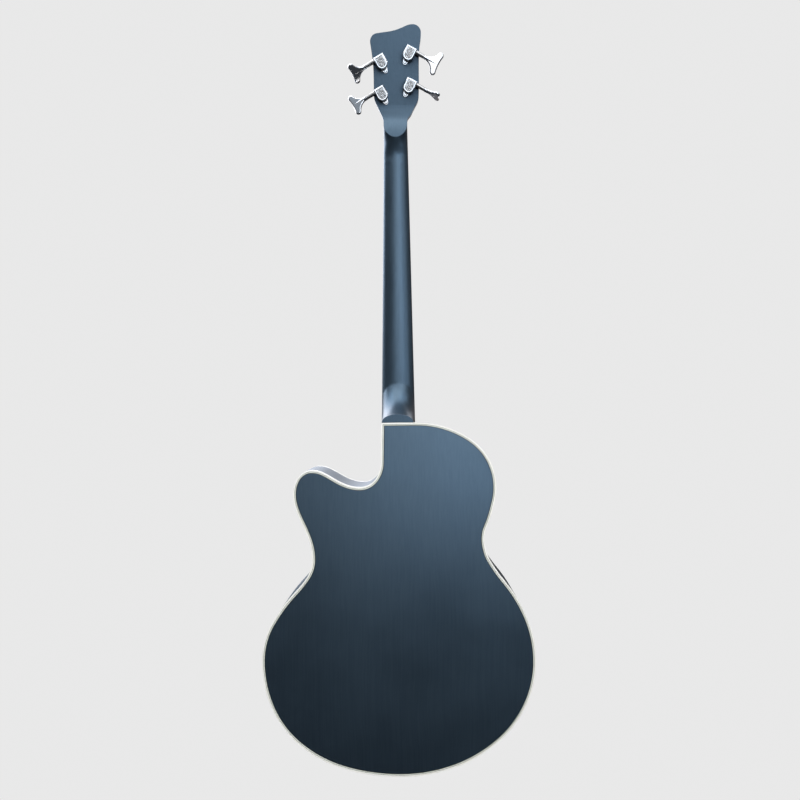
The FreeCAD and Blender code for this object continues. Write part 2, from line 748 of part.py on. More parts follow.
def least_gap(edges, gauge, pitch_count):
    """Least free space between stretches of a tube that lie half a turn or more apart."""
    samples = []
    travelled = 0
    for edge in edges:
        for point in edge.discretize(GAP_SAMPLES + 1)[:-1]:
            samples.append((travelled, point))
            travelled += edge.Length / GAP_SAMPLES
    apart = travelled / pitch_count / 2
    gaps = []
    for index, (here, point) in enumerate(samples):
        gaps += [(other - point).Length for there, other in samples[index:] if there - here > apart]
    return min(gaps) - gauge


def tube(edges, radius, label):
    """A round tube along joined edges; its volume is compared with section times length."""
    wire = Part.Wire(edges)
    start = edges[0].Vertexes[0].Point
    direction = edges[0].tangentAt(edges[0].FirstParameter)
    profile = Part.Wire(Part.Circle(start, direction, radius).toShape())
    shell = Part.BRepOffsetAPI.MakePipeShell(wire)
    shell.add(profile)
    shell.build()
    shell.makeSolid()
    solid = shell.shape()
    wanted = math.pi * radius ** 2 * wire.Length
    print("tube %s: length %.1f, volume over section times length %.4f"
          % (label, wire.Length, solid.Volume / wanted))
    return solid


def string_points(name):
    """Corner points of a string from its ball end to the winding, and the winding."""
    index = "eadg".index(name)
    gauge = STRING_GAUGES[name]
    turns, first, direction, top = winding_edges(name)
    bridge_x = across(index, d.string_span_bridge)
    nut_x = across(index, d.string_span_nut)
    hole_z = pin_z + d.pin_diameter / 2 + gauge / 2 + d.string_clearance
    ball_y = -d.soundboard_thickness - d.plate_thickness - d.ball_length / 2
    lift = gauge / 2
    world_first = head_frame.multVec(first)
    points = [
        Vector(bridge_x, ball_y, hole_z),
        Vector(bridge_x, d.bridge_height + lift + d.pin_string_rise, hole_z),
        Vector(bridge_x, saddle_string_y - crown_drop(bridge_x) + lift, saddle_z),
        Vector(nut_x, nut_string_y - crown_drop(nut_x) + lift, d.nut_thickness / 2),
        world_first,
    ]
    turns = [edge.transformed(head_frame.toMatrix()).Edges[0] for edge in turns]
    return points, turns, top


def string_edges(name):
    """All edges of a string, as one line from the bridge to its last turn."""
    points, turns, top = string_points(name)
    gauge = STRING_GAUGES[name]
    edges, previous = cord_edges(points, [bend * gauge for bend in STRING_BENDS])
    edges.append(Part.LineSegment(previous, points[-1]).toShape())
    return edges, turns, top


STRING_EDGES = {name: string_edges(name) for name in STRING_GAUGES}


def string_slot(name):
    """The straight runs of a string, fatter by its clearance, for cutting slots."""
    edges = STRING_EDGES[name][0]
    radius = STRING_GAUGES[name] / 2 + d.string_clearance
    return tube(edges, radius, "slot_" + name)


STRING_SLOTS = {name: string_slot(name) for name in STRING_GAUGES}


def make_strings():
    """Four strings, each one tube from its ball end over saddle and nut to its winding."""
    for name, gauge in STRING_GAUGES.items():
        runs, turns, top = STRING_EDGES[name]
        gap = least_gap(turns[:-1], gauge, d.winding_turns)
        print("string %s: least gap between turns %.3f" % (name, gap))
        piece("string_" + name, formed("string_" + name, tube(runs + turns, gauge / 2, name)))
    balls = []
    for name, gauge in STRING_GAUGES.items():
        start = STRING_EDGES[name][0][0].Vertexes[0].Point
        foot = start + Vector(0, -d.ball_length, (d.ball_diameter - gauge) / 2)
        balls.append(Part.makeCylinder(d.ball_diameter / 2, d.ball_length, foot, Vector(0, 1, 0)))
    piece("string_ball_ends", formed("string_ball_ends", Part.makeCompound(balls)))


# Body pieces

def make_body_shell():
    """Soundboard, back, rims, bindings, purfling and linings."""
    plate_edge = d.rim_thickness
    black_outer = plate_edge + d.black_line_outer
    ivory = black_outer + d.ivory_line
    plate_face = ivory + d.black_line_inner
    lining_edge = plate_edge + d.lining_width
    outer = outline_prism(0, deep, 0)
    inside_rim = outline_prism(plate_edge, deep, 0)

    hole_centre = Vector(0, 0, joint_z - d.soundhole_drop)

    def disc(radius, depth):
        return Part.makeCylinder(radius, depth, hole_centre, Vector(0, -1, 0))

    rosette_outer = d.rosette_inner + d.rosette_width
    rosette = disc(rosette_outer, d.rosette_depth).cut(disc(d.rosette_inner, d.rosette_depth))
    board = outline_prism(plate_edge, -d.soundboard_thickness, 0)
    board = board.cut(disc(d.soundhole_radius, d.soundboard_thickness)).cut(rosette)
    board = board.cut(pin_holes()).cut(Part.makeCompound(list(STRING_SLOTS.values())))
    piece("soundboard", formed("soundboard", board))
    piece("rosette", formed("rosette", rosette))

    ring = outer.cut(inside_rim)
    top_binding = ring.common(region(y=(-d.binding_height, 0)))
    piece("top_binding", formed("top_binding", top_binding))
    behind = ring.common(ball(0))
    back_binding = behind.cut(ball(d.binding_height))
    piece("back_binding", formed("back_binding", back_binding))

    rims = ring.common(ball(d.binding_height))
    rims = rims.cut(region(y=(-d.binding_height, d.binding_height)))
    rims = rims.cut(tenon(d.joint_clearance)).cut(jack_hole())
    bass = rims.common(region(x=(0, d.body_length)))
    treble = rims.common(region(x=(-d.body_length, 0)))
    piece("side_bass", formed("side_bass", bass))
    piece("side_treble", formed("side_treble", treble))

    skin = ball(0).cut(ball(d.purfling_depth))
    plate = ball(0).cut(ball(d.back_thickness))
    borders = [outline_prism(edge, deep, 0) for edge in (plate_edge, black_outer, ivory, plate_face)]
    lines = [wide.cut(narrow).common(skin) for wide, narrow in zip(borders, borders[1:])]
    back = borders[0].common(plate).cut(borders[0].cut(borders[3]).common(skin))
    piece("back", formed("back", back))
    piece("purfling_black", formed("purfling_black", Part.makeCompound([lines[0], lines[2]])))
    piece("purfling_ivory", formed("purfling_ivory", lines[1]))

    collar = inside_rim.cut(outline_prism(lining_edge, deep, 0))
    low = joint_z - d.rim_thickness - d.neck_block_length
    collar = collar.cut(region(x=(-d.neck_block_bass, d.neck_block_bass), z=(low, joint_z)))
    tail_half = d.tail_block_width / 2
    tail_top = tail_z + d.rim_thickness + d.tail_block_length
    collar = collar.cut(region(x=(-tail_half, tail_half), z=(tail_z, tail_top)))
    top_low = -d.soundboard_thickness - d.lining_height
    top_lining = collar.common(region(y=(top_low, -d.soundboard_thickness)))
    back_lining = collar.common(ball(d.back_thickness)).cut(ball(d.back_thickness + d.lining_height))
    piece("linings", formed("linings", Part.makeCompound(top_lining.Solids + back_lining.Solids)))


def tenon(clearance):
    """The dovetail that locks the neck in its block, grown by a clearance."""
    root = d.tenon_root / 2 + clearance
    tip = d.tenon_tip / 2 + clearance
    end = joint_z - d.tenon_length - clearance
    corners = [(root, joint_z), (tip, end), (-tip, end), (-root, joint_z)]
    top = -d.tenon_top + clearance
    points = [Vector(x, top, z) for x, z in corners]
    face = Part.Face(Part.makePolygon(points + points[:1]))
    return face.extrude(Vector(0, -(d.tenon_bottom - d.tenon_top) - 2 * clearance, 0))


def jack_hole():
    """The bore for the output jack through rim and tail block."""
    radius = d.jack_diameter / 2 + d.joint_clearance
    start = Vector(0, -d.jack_depth, tail_z - d.strap_button_length)
    return Part.makeCylinder(radius, d.strap_button_length + d.jack_length, start)


def inside(inset):
    """The space between the plates, moved in from the rim."""
    space = outline_prism(inset, deep, -d.soundboard_thickness)
    return space.common(ball(d.back_thickness))


def make_blocks():
    """Neck block with its mortise, and tail block with the jack's bore."""
    space = inside(d.rim_thickness)
    low = joint_z - d.rim_thickness - d.neck_block_length
    neck_block = space.common(region(x=(-d.neck_block_bass, d.neck_block_bass), z=(low, joint_z)))
    neck_block = neck_block.cut(tenon(d.joint_clearance))
    piece("neck_block", formed("neck_block", neck_block))
    half = d.tail_block_width / 2
    top = tail_z + d.rim_thickness + d.tail_block_length
    tail_block = space.common(region(x=(-half, half), z=(tail_z, top))).cut(jack_hole())
    piece("tail_block", formed("tail_block", tail_block))


def make_braces():
    """Four braces across the back; crossed, transverse and tone braces under the top."""
    space = inside(d.rim_thickness + d.lining_width + d.brace_margin)
    half = d.brace_width / 2
    bars = []
    for drop in (d.back_brace_first, d.back_brace_second, d.back_brace_third, d.back_brace_fourth):
        z = joint_z - drop
        crown = back_depth(0, z) + d.back_thickness + d.back_brace_height
        bars.append(largest(space.common(region(y=(deep, crown), z=(z - half, z + half)))))
    piece("back_braces", formed("back_braces", Part.makeCompound(bars)))

    face_y = -d.soundboard_thickness
    low_y = face_y - d.top_brace_height

    def leg(angle):
        bar = region(x=(-half, half), y=(low_y, face_y), z=(-d.body_length, d.body_length))
        bar.Placement = at(0, 0, joint_z - d.x_brace_drop, turned((0, 1, 0), angle))
        return bar

    middle_y = (face_y + low_y) / 2
    first = leg(d.x_brace_angle)
    second = leg(-d.x_brace_angle)
    shared = first.common(second)
    upper = shared.common(region(y=(middle_y, face_y)))
    lower = shared.common(region(y=(low_y, middle_y)))
    across_z = joint_z - d.soundhole_drop + d.soundhole_radius + d.transverse_brace_gap
    reach_low = tail_z + d.tail_block_length + d.x_brace_end_gap
    band = region(z=(reach_low, across_z - half - d.brace_margin))
    first = first.cut(lower).common(space).common(band)
    second = second.cut(upper).common(space).common(band)
    transverse = region(y=(low_y, face_y), z=(across_z - half, across_z + half)).common(space)
    solids = [largest(bar) for bar in (transverse, first, second)]
    piece("top_braces", formed("top_braces", Part.makeCompound(solids)))


def largest(shape):
    """The largest solid of a shape."""
    return max(shape.Solids, key=lambda solid: solid.Volume)


# Bridge

def pin_places():
    """The centre line of each bridge pin at the bridge's face."""
    return [Vector(across(index, d.string_span_bridge), d.bridge_height, pin_z) for index in range(4)]


def pin_holes():
    """Tapered holes for the four bridge pins."""
    holes = []
    for place in pin_places():
        top = d.pin_diameter / 2 + d.pin_clearance
        tip = d.pin_tip_diameter / 2 + d.pin_clearance
        length = d.pin_length + d.pin_clearance
        holes.append(Part.makeCone(top, tip, length, place, Vector(0, -1, 0)))
    return Part.makeCompound(holes)


def make_bridge():
    """Bridge with slot and holes, saddle, pickup strip, pins and the plate inside."""
    slots = Part.makeCompound(list(STRING_SLOTS.values()))
    bridge_centre = saddle_z + d.saddle_setback - d.bridge_width / 2
    body = new_body("bridge_blank", at(0, 0, bridge_centre))
    outline = new_sketch(body, "bridge_outline", "XZ_Plane")
    sketch_rectangle(outline, "bridge_length", "bridge_width")
    blank = pad(body, "bridge_pad", outline, "bridge_height", backwards=True)
    doc.recompute()
    rounding = body.newObject("PartDesign::Fillet", "bridge_edges")
    rounding.Base = (blank, edges_above(blank, d.bridge_height))
    bind(rounding, Radius="bridge_rounding")
    slot_place = at(0, saddle_z - bridge_centre, -d.bridge_height)
    slot_sketch = new_sketch(body, "saddle_slot_outline", "XZ_Plane", slot_place)
    sketch_rectangle(slot_sketch, "saddle_length + 2 * slot_clearance",
                     "saddle_thickness + 2 * slot_clearance")
    pocket(body, "saddle_slot", slot_sketch, "2 * saddle_slot_depth")
    holes = formed("bridge_pin_holes", pin_holes())
    grooves = formed("bridge_string_grooves", slots)
    drilled = cut("bridge_drilled", body, holes)
    piece("bridge", cut("bridge_grooved", drilled, grooves))

    slot_floor = d.bridge_height - d.saddle_slot_depth
    strip_place = at(-d.saddle_length / 2, slot_floor, saddle_z - d.saddle_thickness / 2)
    strip = box("pickup_strip", "saddle_length", "pickup_thickness", "saddle_thickness", strip_place)
    piece("pickup_strip", strip)

    seat = slot_floor + d.pickup_thickness
    reach = "saddle_slot_depth + fretboard_radius"
    blank = box("saddle_blank", "saddle_length", reach, "saddle_thickness",
                at(-d.saddle_length / 2, seat, saddle_z - d.saddle_thickness / 2))
    crown = cylinder("saddle_crown", "fretboard_radius", "saddle_thickness",
                     at(0, saddle_string_y - d.fretboard_radius, saddle_z - d.saddle_thickness / 2))
    shaped = common("saddle_shaped", blank, crown)
    notches = formed("saddle_notches", slots)
    piece("saddle", cut("saddle_notched", shaped, notches))

    pins = []
    for number, place in enumerate(pin_places(), start=1):
        turn = turned((1, 0, 0), 90)
        shaft = cone("pin_shaft_%d" % number, "pin_diameter / 2", "pin_tip_diameter / 2", "pin_length",
                     at(place.x, place.y, place.z, turn))
        head = cone("pin_head_%d" % number, "pin_head_diameter / 4", "pin_head_diameter / 2",
                    "pin_head_height", at(place.x, place.y + d.pin_head_height, place.z, turn))
        pins.append(fuse("pin_%d" % number, [shaft, head]))
    holder = group("bridge_pin_set", pins)
    piece("bridge_pins", cut("bridge_pins_grooved", holder, formed("pin_string_grooves", slots)))

    plate_z = pin_z - d.plate_setback
    plate_y = -d.soundboard_thickness - d.plate_thickness
    plate = region(x=(-d.plate_length / 2, d.plate_length / 2), y=(plate_y, -d.soundboard_thickness),
                   z=(plate_z - d.plate_width / 2, plate_z + d.plate_width / 2))
    braces = [item for item in pieces if item.Label == "top_braces"][0].Shape
    plate = largest(plate.cut(pin_holes()).cut(slots).cut(braces))
    piece("bridge_plate", formed("bridge_plate", plate))


def edges_above(feature, height):
    """Names of the edges of a blank that lie on its upper face."""
    names = []
    for number, edge in enumerate(feature.Shape.Edges, start=1):
        if all(abs(vertex.Y - height) < 1e-6 for vertex in edge.Vertexes):
            names.append("Edge%d" % number)
    return names


# Neck

# Spans of the curve round a section of neck or heel
OVAL_STEPS = 12


def half_oval(half_width, height, fullness):
    """Points of half an oval from its right end over its crown; 2 makes it an ellipse."""
    points = []
    for step in range(OVAL_STEPS + 1):
        angle = math.pi * step / OVAL_STEPS
        across_axis = math.copysign(abs(math.cos(angle)) ** (2 / fullness), math.cos(angle))
        points.append((half_width * across_axis, height * math.sin(angle) ** (2 / fullness)))
    return points


def neck_section(z, depth, half_width, fullness=d.neck_fullness):
    """Section of the neck's back: short straight sides and a rounded belly."""
    side = -d.neck_side_height
    curve_points = half_oval(half_width, depth - d.neck_side_height, fullness)
    belly = [Vector(x, side - rise, z) for x, rise in curve_points]
    curve = Part.BSplineCurve()
    curve.interpolate(belly)
    corners = [Vector(-half_width, 0, z), Vector(half_width, 0, z)]
    return Part.Wire([
        Part.LineSegment(corners[0], corners[1]).toShape(),
        Part.LineSegment(corners[1], belly[0]).toShape(),
        curve.toShape(),
        Part.LineSegment(belly[-1], corners[0]).toShape(),
    ])


def heel_section(y, half_width, reach):
    """Section of the heel at a depth: flat against the body, rounded above."""
    curve_points = half_oval(half_width, reach, d.heel_fullness)
    points = [Vector(x, y, joint_z + rise) for x, rise in curve_points]
    curve = Part.BSplineCurve()
    curve.interpolate(points)
    return Part.Wire([curve.toShape(), Part.LineSegment(points[-1], points[0]).toShape()])


heel_cap_y = back_depth(0, joint_z)

# The heel's curve: share of its depth, and how far it reaches from the body up the neck
HEEL_CURVE = (
    (0.0, 96.0),
    (0.12, 60.0),
    (0.27, 39.0),
    (0.45, 27.0),
    (0.65, 19.5),
    (0.84, 15.2),
    (1.0, d.heel_cap_reach),
)


def make_heel():
    """The heel as a loft of flat-sided sections from the shaft down to its cap."""
    end = -heel_cap_y - d.heel_cap_thickness
    sections = []
    for share, reach in HEEL_CURVE:
        depth = d.heel_start + (end - d.heel_start) * share
        half = (d.joint_width + (d.heel_width - d.joint_width) * share) / 2
        sections.append(heel_section(-depth, half, reach))
    return Part.makeLoft(sections, True, False)


def headstock_outline(z):
    """The headstock's outline at a depth in its own frame."""
    top = d.headstock_length
    throat = d.nut_width / 2
    corner_end = (-d.headstock_treble + 10.6, d.headstock_corner + 14.6)
    peak_start = (6.4, top - 7.4)
    ear_end = (d.headstock_bass, top - 13.4)
    waist_bass = (d.headstock_bass - 3.2, d.headstock_mid + 32.0)
    nodes = [
        (-throat, 0, 100),
        (-d.headstock_flare_treble, 20.0, 115),
        (-d.headstock_low_treble, d.headstock_low, 90),
        (-d.headstock_low_treble, d.headstock_mid, 91),
        (-d.headstock_treble, d.headstock_corner, 98),
        (*corner_end, 8),
        (*peak_start, 18),
        (d.headstock_peak, top, 0),
        (*ear_end, -90),
        (*waist_bass, -93),
        (d.headstock_low_bass, d.headstock_low, -92),
        (d.headstock_flare_bass, 13.0, -115),
        (throat, 0, -100),
    ]
    edges = []
    for (x0, y0, heading_in), (x1, y1, heading_out) in zip(nodes, nodes[1:]):
        start = Vector(x0, y0, z)
        end = Vector(x1, y1, z)
        edges += biarc_edges(start, heading_vector(heading_in), end, heading_vector(heading_out))
    edges.append(Part.LineSegment(Vector(throat, 0, z), Vector(-throat, 0, z)).toShape())
    return Part.Wire(edges)


def head_prism(low, high):
    """The headstock's outline as a plate between two depths below its face."""
    plate = Part.Face(headstock_outline(low)).extrude(Vector(0, 0, high - low))
    plate.Placement = head_frame
    return plate


def side_profile(points, tangents=None):
    """A wide solid from a profile seen from the side; its first edge may be two arcs."""
    wide = d.headstock_length
    edges = []
    vectors = [Vector(-wide, y, z) for y, z in points]
    for index, start in enumerate(vectors):
        end = vectors[(index + 1) % len(vectors)]
        if index == 0 and tangents:
            edges += biarc_edges(start, tangents[0], end, tangents[1])
        else:
            edges.append(Part.LineSegment(start, end).toShape())
    return Part.Face(Part.Wire(edges)).extrude(Vector(2 * wide, 0, 0))


# Evenly spaced sections of the volute's loft, and its degree along the neck
VOLUTE_SECTIONS = 10
VOLUTE_DEGREE = 3


def volute_depth(z):
    """Depth of the volute behind the fretboard's plane, before its flat is cut."""
    slope = eased((z + d.volute_foot) / (d.volute_foot - d.volute_crest))
    return neck_depth(z) + d.volute_rise * slope


def volute_sections(start_z):
    """Sections of the neck from below the foot of the volute up past the nut."""
    sections = []
    for step in range(VOLUTE_SECTIONS):
        z = start_z + (d.volute_reach - start_z) * step / (VOLUTE_SECTIONS - 1)
        half_width = neck_half_width(z) + d.volute_side * eased(z / d.volute_reach)
        fullness = d.neck_fullness + d.volute_squareness * eased(z / d.volute_tip + 1)
        sections.append(neck_section(z, volute_depth(z), half_width, fullness))
    return sections


def eased(share):
    """A share from 0 to 1 that starts and ends level."""
    share = min(max(share, 0), 1)
    return share * share * (3 - 2 * share)


def make_neck():
    """Neck: shaft, volute, headstock, heel with dovetail, channel, pocket and post holes."""
    volute_z = -d.volute_foot - d.volute_run_in
    shaft = Part.makeLoft([
        neck_section(joint_z, neck_depth(joint_z), neck_half_width(joint_z)),
        neck_section(volute_z, neck_depth(volute_z), neck_half_width(volute_z)),
    ], True, True)
    volute = Part.makeLoft(volute_sections(volute_z), True, False, False, VOLUTE_DEGREE)
    head = head_prism(d.veneer_thickness, d.headstock_thickness + d.volute_rise)

    tilt = math.radians(d.headstock_tilt)
    lean = math.radians(d.volute_lean)
    tip_z = -d.volute_tip
    tip_y = -volute_depth(tip_z)

    def back_point(height):
        point = head_frame.multVec(Vector(0, height, d.headstock_thickness))
        return point.y, point.z

    over = 2 * d.headstock_length
    waste_back = side_profile([(tip_y, tip_z), back_point(d.head_blend_end), back_point(over),
                               (-over, over), (-over, volute_z), (tip_y, volute_z)],
                              (Vector(0, math.sin(lean), math.cos(lean)),
                               Vector(0, -math.sin(tilt), math.cos(tilt))))
    face_top = head_frame.multVec(Vector(0, over, d.veneer_thickness))
    face_foot = head_frame.multVec(Vector(0, 0, d.veneer_thickness))
    slope = (face_top.y - face_foot.y) / (face_top.z - face_foot.z)
    face_y = face_foot.y + slope * (d.nut_thickness - face_foot.z)
    waste_front = side_profile([(0, d.nut_thickness), (face_y, d.nut_thickness), (face_top.y, face_top.z),
                                (over, over), (over, -over), (0, -over)])

    neck = shaft.fuse(volute).fuse(head).cut(waste_back).cut(waste_front)
    neck = neck.fuse(make_heel()).fuse(tenon(0))
    channel_half = d.rod_width / 2 + d.rod_clearance
    rod_low = -d.rod_setback - d.rod_length - d.rod_clearance
    pocket_half = d.rod_pocket_width / 2
    pocket_end = d.nut_thickness + d.rod_pocket_length
    neck = neck.cut(region(x=(-channel_half, channel_half), y=(-d.rod_depth - d.rod_clearance, 0),
                           z=(rod_low, d.nut_thickness)))
    neck = neck.cut(region(x=(-pocket_half, pocket_half), y=(-d.rod_pocket_depth, 0),
                           z=(d.nut_thickness, pocket_end)))
    holes = [post_bore(name) for name in TUNERS] + [screw_hole(place) for place in screw_places()]
    neck = neck.cut(Part.makeCompound(holes))
    piece("neck", formed("neck", neck.removeSplitter()))

    veneer = head_prism(0, d.veneer_thickness)
    veneer = veneer.cut(region(z=(-d.headstock_length, d.nut_thickness)))
    veneer = veneer.cut(region(x=(-pocket_half, pocket_half), z=(0, pocket_end)))
    veneer = veneer.cut(Part.makeCompound(holes))
    piece("headstock_veneer", formed("headstock_veneer", veneer))

    outer_face = heel_section(heel_cap_y, d.heel_width / 2 - d.heel_cap_draft,
                              d.heel_cap_reach - d.heel_cap_draft)
    inner_face = heel_section(heel_cap_y + d.heel_cap_thickness, d.heel_width / 2, d.heel_cap_reach)
    piece("heel_cap", formed("heel_cap", Part.makeLoft([outer_face, inner_face], True, True)))


# Truss rod

def make_truss_rod():
    """Rod in the neck's channel, its hexagonal nut and the cover with two screws."""
    rod_top = -d.rod_setback
    rod = box("truss_rod_bar", "rod_width", "rod_depth", "rod_length",
              at(-d.rod_width / 2, -d.rod_depth, rod_top - d.rod_length))
    axis_y = -d.rod_axis_depth
    nut_z = d.nut_thickness + d.rod_nut_gap
    thread_end = nut_z + d.rod_nut_length - d.rod_nut_end - d.rod_nut_slack
    thread = doc.addObject("Part::Cylinder", "truss_rod_thread")
    bind(thread, Radius="rod_thread / 2")
    thread.Height = thread_end - rod_top
    thread.Placement = at(0, axis_y, rod_top)
    piece("truss_rod", fuse("truss_rod_whole", [rod, thread]))

    nut = doc.addObject("Part::Prism", "truss_rod_nut_blank")
    nut.Polygon = 6
    bind(nut, Circumradius="rod_nut_size / 2 / cos(30)", Height="rod_nut_length")
    nut.Placement = at(0, axis_y, nut_z)
    bore = cylinder("truss_rod_nut_bore", "rod_thread / 2 + post_running_fit", "rod_nut_length",
                    at(0, axis_y, nut_z - d.rod_nut_end))
    piece("truss_rod_nut", cut("truss_rod_nut_bored", nut, bore))

    centre = d.cover_length / 2 + d.cover_foot
    place = head_frame.multiply(at(0, centre, 0))
    body = new_body("cover_body", place)
    outline = new_sketch(body, "cover_outline", "XY_Plane")
    sketch_rectangle(outline, "cover_width", "cover_length")
    blank = pad(body, "cover_pad", outline, "cover_thickness", backwards=True)
    doc.recompute()
    corners = body.newObject("PartDesign::Fillet", "cover_corners")
    corners.Base = (blank, upright_edges(blank))
    bind(corners, Radius="cover_corner")
    holes = Part.makeCompound([screw_hole(spot) for spot in screw_places()])
    piece("truss_rod_cover", cut("cover_drilled", body, formed("cover_holes", holes)))


def upright_edges(feature):
    """Names of the edges of a plate that run through its thickness."""
    names = []
    for number, edge in enumerate(feature.Shape.Edges, start=1):
        first, last = edge.Vertexes[0].Point, edge.Vertexes[-1].Point
        if abs(first.x - last.x) < 1e-6 and abs(first.y - last.y) < 1e-6:
            names.append("Edge%d" % number)
    return names


# Screws

def screw_places():
    """Frames of the wood screws: z points out of the wood, the head sits at zero."""
    places = []
    for name in TUNERS:
        out = at(0, -d.tab_reach, d.base_thickness)
        places.append(tuner_frame(name).multiply(out))
    aside = d.cover_width / 2 - d.cover_screw_margin
    low = d.cover_foot + d.cover_screw_margin
    high = d.cover_foot + d.cover_length - d.cover_screw_margin
    for x, height in ((aside, low), (-aside, low), (0, high)):
        local = at(x, height, -d.cover_thickness, turned((1, 0, 0), 180))
        places.append(head_frame.multiply(local))
    return places


def screw_hole(place):
    """Pilot hole of a wood screw."""
    hole = Part.makeCylinder(d.screw_diameter / 2 + d.screw_clearance, d.screw_length + d.screw_clearance,
                             Vector(0, 0, 0), Vector(0, 0, -1))
    hole.Placement = place
    return hole


def make_screws():
    """Domed wood screws with a cross recess."""
    screws = []
    for number, place in enumerate(screw_places(), start=1):
        shank = cylinder("screw_shank_%d" % number, "screw_diameter / 2", "screw_length",
                         place.multiply(at(0, 0, -d.screw_length)))
        head = cone("screw_head_%d" % number, "screw_head_diameter / 2", "screw_head_diameter / 3",
                    "screw_head_height", place)
        bars = []
        for turn in (0, 90):
            middle = at(0, 0, d.screw_head_height / 2, turned((0, 0, 1), turn))
            corner = at(-d.screw_head_diameter / 4, -d.screw_diameter / 8, 0)
            bars.append(box("screw_slot_%d_%d" % (number, turn), "screw_head_diameter / 2",
                            "screw_diameter / 4", "screw_head_height",
                            place.multiply(middle).multiply(corner)))
        whole = fuse("screw_%d" % number, [shank, head])
        recess = fuse("screw_recess_%d" % number, bars)
        screws.append(cut("screw_cut_%d" % number, whole, recess))
    piece("wood_screws", group("wood_screw_set", screws))


# Fretboard

def board_arc(radius, z_low, z_high):
    """The space under the crowned face of the fretboard."""
    axis = Vector(0, d.fretboard_thickness - d.fretboard_radius, z_low)
    return Part.makeCylinder(radius, z_high - z_low, axis)


def across_board(section, half_width):
    """A section in the middle of the fretboard turned about its crown axis, edge to edge."""
    axis = Vector(0, d.fretboard_thickness - d.fretboard_radius, 0)
    angle = math.degrees(math.asin(half_width / d.fretboard_radius))
    section.rotate(axis, Vector(0, 0, 1), -angle)
    return section.revolve(axis, Vector(0, 0, 1), 2 * angle)


def fret_solid(z, half_width):
    """A fret: a crowned bead with a tang in the board."""
    face = d.fretboard_thickness
    tang = face - d.fret_tang_depth
    tang_half = d.fret_tang_width / 2
    crown_half = d.fret_width / 2
    points = [
        Vector(0, face, z + crown_half), Vector(0, face, z + tang_half), Vector(0, tang, z + tang_half),
        Vector(0, tang, z - tang_half), Vector(0, face, z - tang_half), Vector(0, face, z - crown_half),
    ]
    edges = [Part.LineSegment(low, high).toShape() for low, high in zip(points, points[1:])]
    edges.append(Part.Arc(points[-1], Vector(0, face + d.fret_height, z), points[0]).toShape())
    return across_board(Part.Face(Part.Wire(edges)), half_width)


def fret_slot(z, half_width):
    """The slot for a fret's tang, sawn right across the board."""
    half = d.fret_tang_width / 2 + d.pin_clearance
    low = d.fretboard_thickness - d.fret_tang_depth - d.pin_clearance
    high = d.fretboard_thickness + d.fret_height
    corners = [(low, -half), (high, -half), (high, half), (low, half)]
    points = [Vector(0, y, z + aside) for y, aside in corners]
    section = Part.Face(Part.makePolygon(points + points[:1]))
    return across_board(section, half_width + d.fret_width)


# Frets with dots below them, and where the dots sit across as shares of their spread
SINGLE_DOT = (0.0,)
DOUBLE_DOT = (-0.5, 0.5)
MARKER_ROWS = [(number, DOUBLE_DOT if number == 12 else SINGLE_DOT)
               for number in (3, 5, 7, 9, 12, 15, 17, 19, 21)]


def make_fretboard():
    """Fretboard with slots and dots, frets, position dots and nut."""
    tip = neck_half_width(board_end_z)
    root = neck_half_width(0)
    corners = [(-root, 0), (root, 0), (tip, board_end_z), (-tip, board_end_z)]
    points = [Vector(x, 0, z) for x, z in corners]
    board = Part.Face(Part.makePolygon(points + points[:1]))
    board = board.extrude(Vector(0, 2 * d.fretboard_thickness, 0))
    board = board.common(board_arc(d.fretboard_radius, board_end_z, 0))

    frets = []
    slots = []
    fit = d.pin_clearance
    for number in range(1, int(d.fret_count) + 1):
        z = -fret_distance(number)
        half = neck_half_width(z)
        frets.append(fret_solid(z, half - d.fret_end_margin))
        slots.append(fret_slot(z, half))
    dots = []
    sockets = []
    for number, row in MARKER_ROWS:
        z = -(fret_distance(number) + fret_distance(number - 1)) / 2
        crown = board_arc(d.fretboard_radius, z - d.dot_diameter, z + d.dot_diameter)
        for share in row:
            x = share * d.dot_spread
            foot = Vector(x, d.fretboard_thickness - crown_drop(x) - d.dot_depth, z)
            height = 2 * d.dot_depth
            dot = Part.makeCylinder(d.dot_diameter / 2, height, foot, Vector(0, 1, 0))
            dots.append(dot.common(crown))
            sockets.append(Part.makeCylinder(d.dot_diameter / 2 + fit, height, foot, Vector(0, 1, 0)))
    board = board.cut(Part.makeCompound(slots)).cut(Part.makeCompound(sockets))
    piece("fretboard", formed("fretboard", board))
    piece("frets", formed("frets", Part.makeCompound(frets)))
    piece("fret_markers", formed("fret_markers", Part.makeCompound(dots)))

    blank = box("nut_blank", "nut_width", "fretboard_thickness + nut_rise", "nut_thickness",
                at(-d.nut_width / 2, 0, 0))
    crown = cylinder("nut_crown", "fretboard_radius", "nut_thickness",
                     at(0, d.fretboard_thickness + d.nut_rise - d.fretboard_radius, 0))
    shaped = common("nut_shaped", blank, crown)
    slot_set = formed("nut_slots", Part.makeCompound(list(STRING_SLOTS.values())))
    piece("nut", cut("nut_slotted", shaped, slot_set))


# Tuners

# Tooth proportions: crest and root beside the pitch circle in modules, half widths in pitches
TOOTH_CREST = 0.85
TOOTH_ROOT = 1.25
CREST_HALF = 0.12
ROOT_HALF = 0.24
# Where the base plate's round part ends, as a share of its radius below the post
PLATE_SHOULDER = 0.8

gear_radius = d.gear_module * d.gear_teeth / 2
worm_pitch = math.pi * d.gear_module
worm_crest = d.worm_radius + d.thread_height
gear_crest = gear_radius + d.gear_module * TOOTH_CREST
centre_distance = gear_crest + d.worm_radius + d.mesh_clearance
gear_z = d.base_thickness + d.gear_lift
worm_z = gear_z + d.gear_thickness / 2
housing_flat = centre_distance + worm_crest + d.housing_room + d.housing_wall
worm_half = d.worm_length / 2


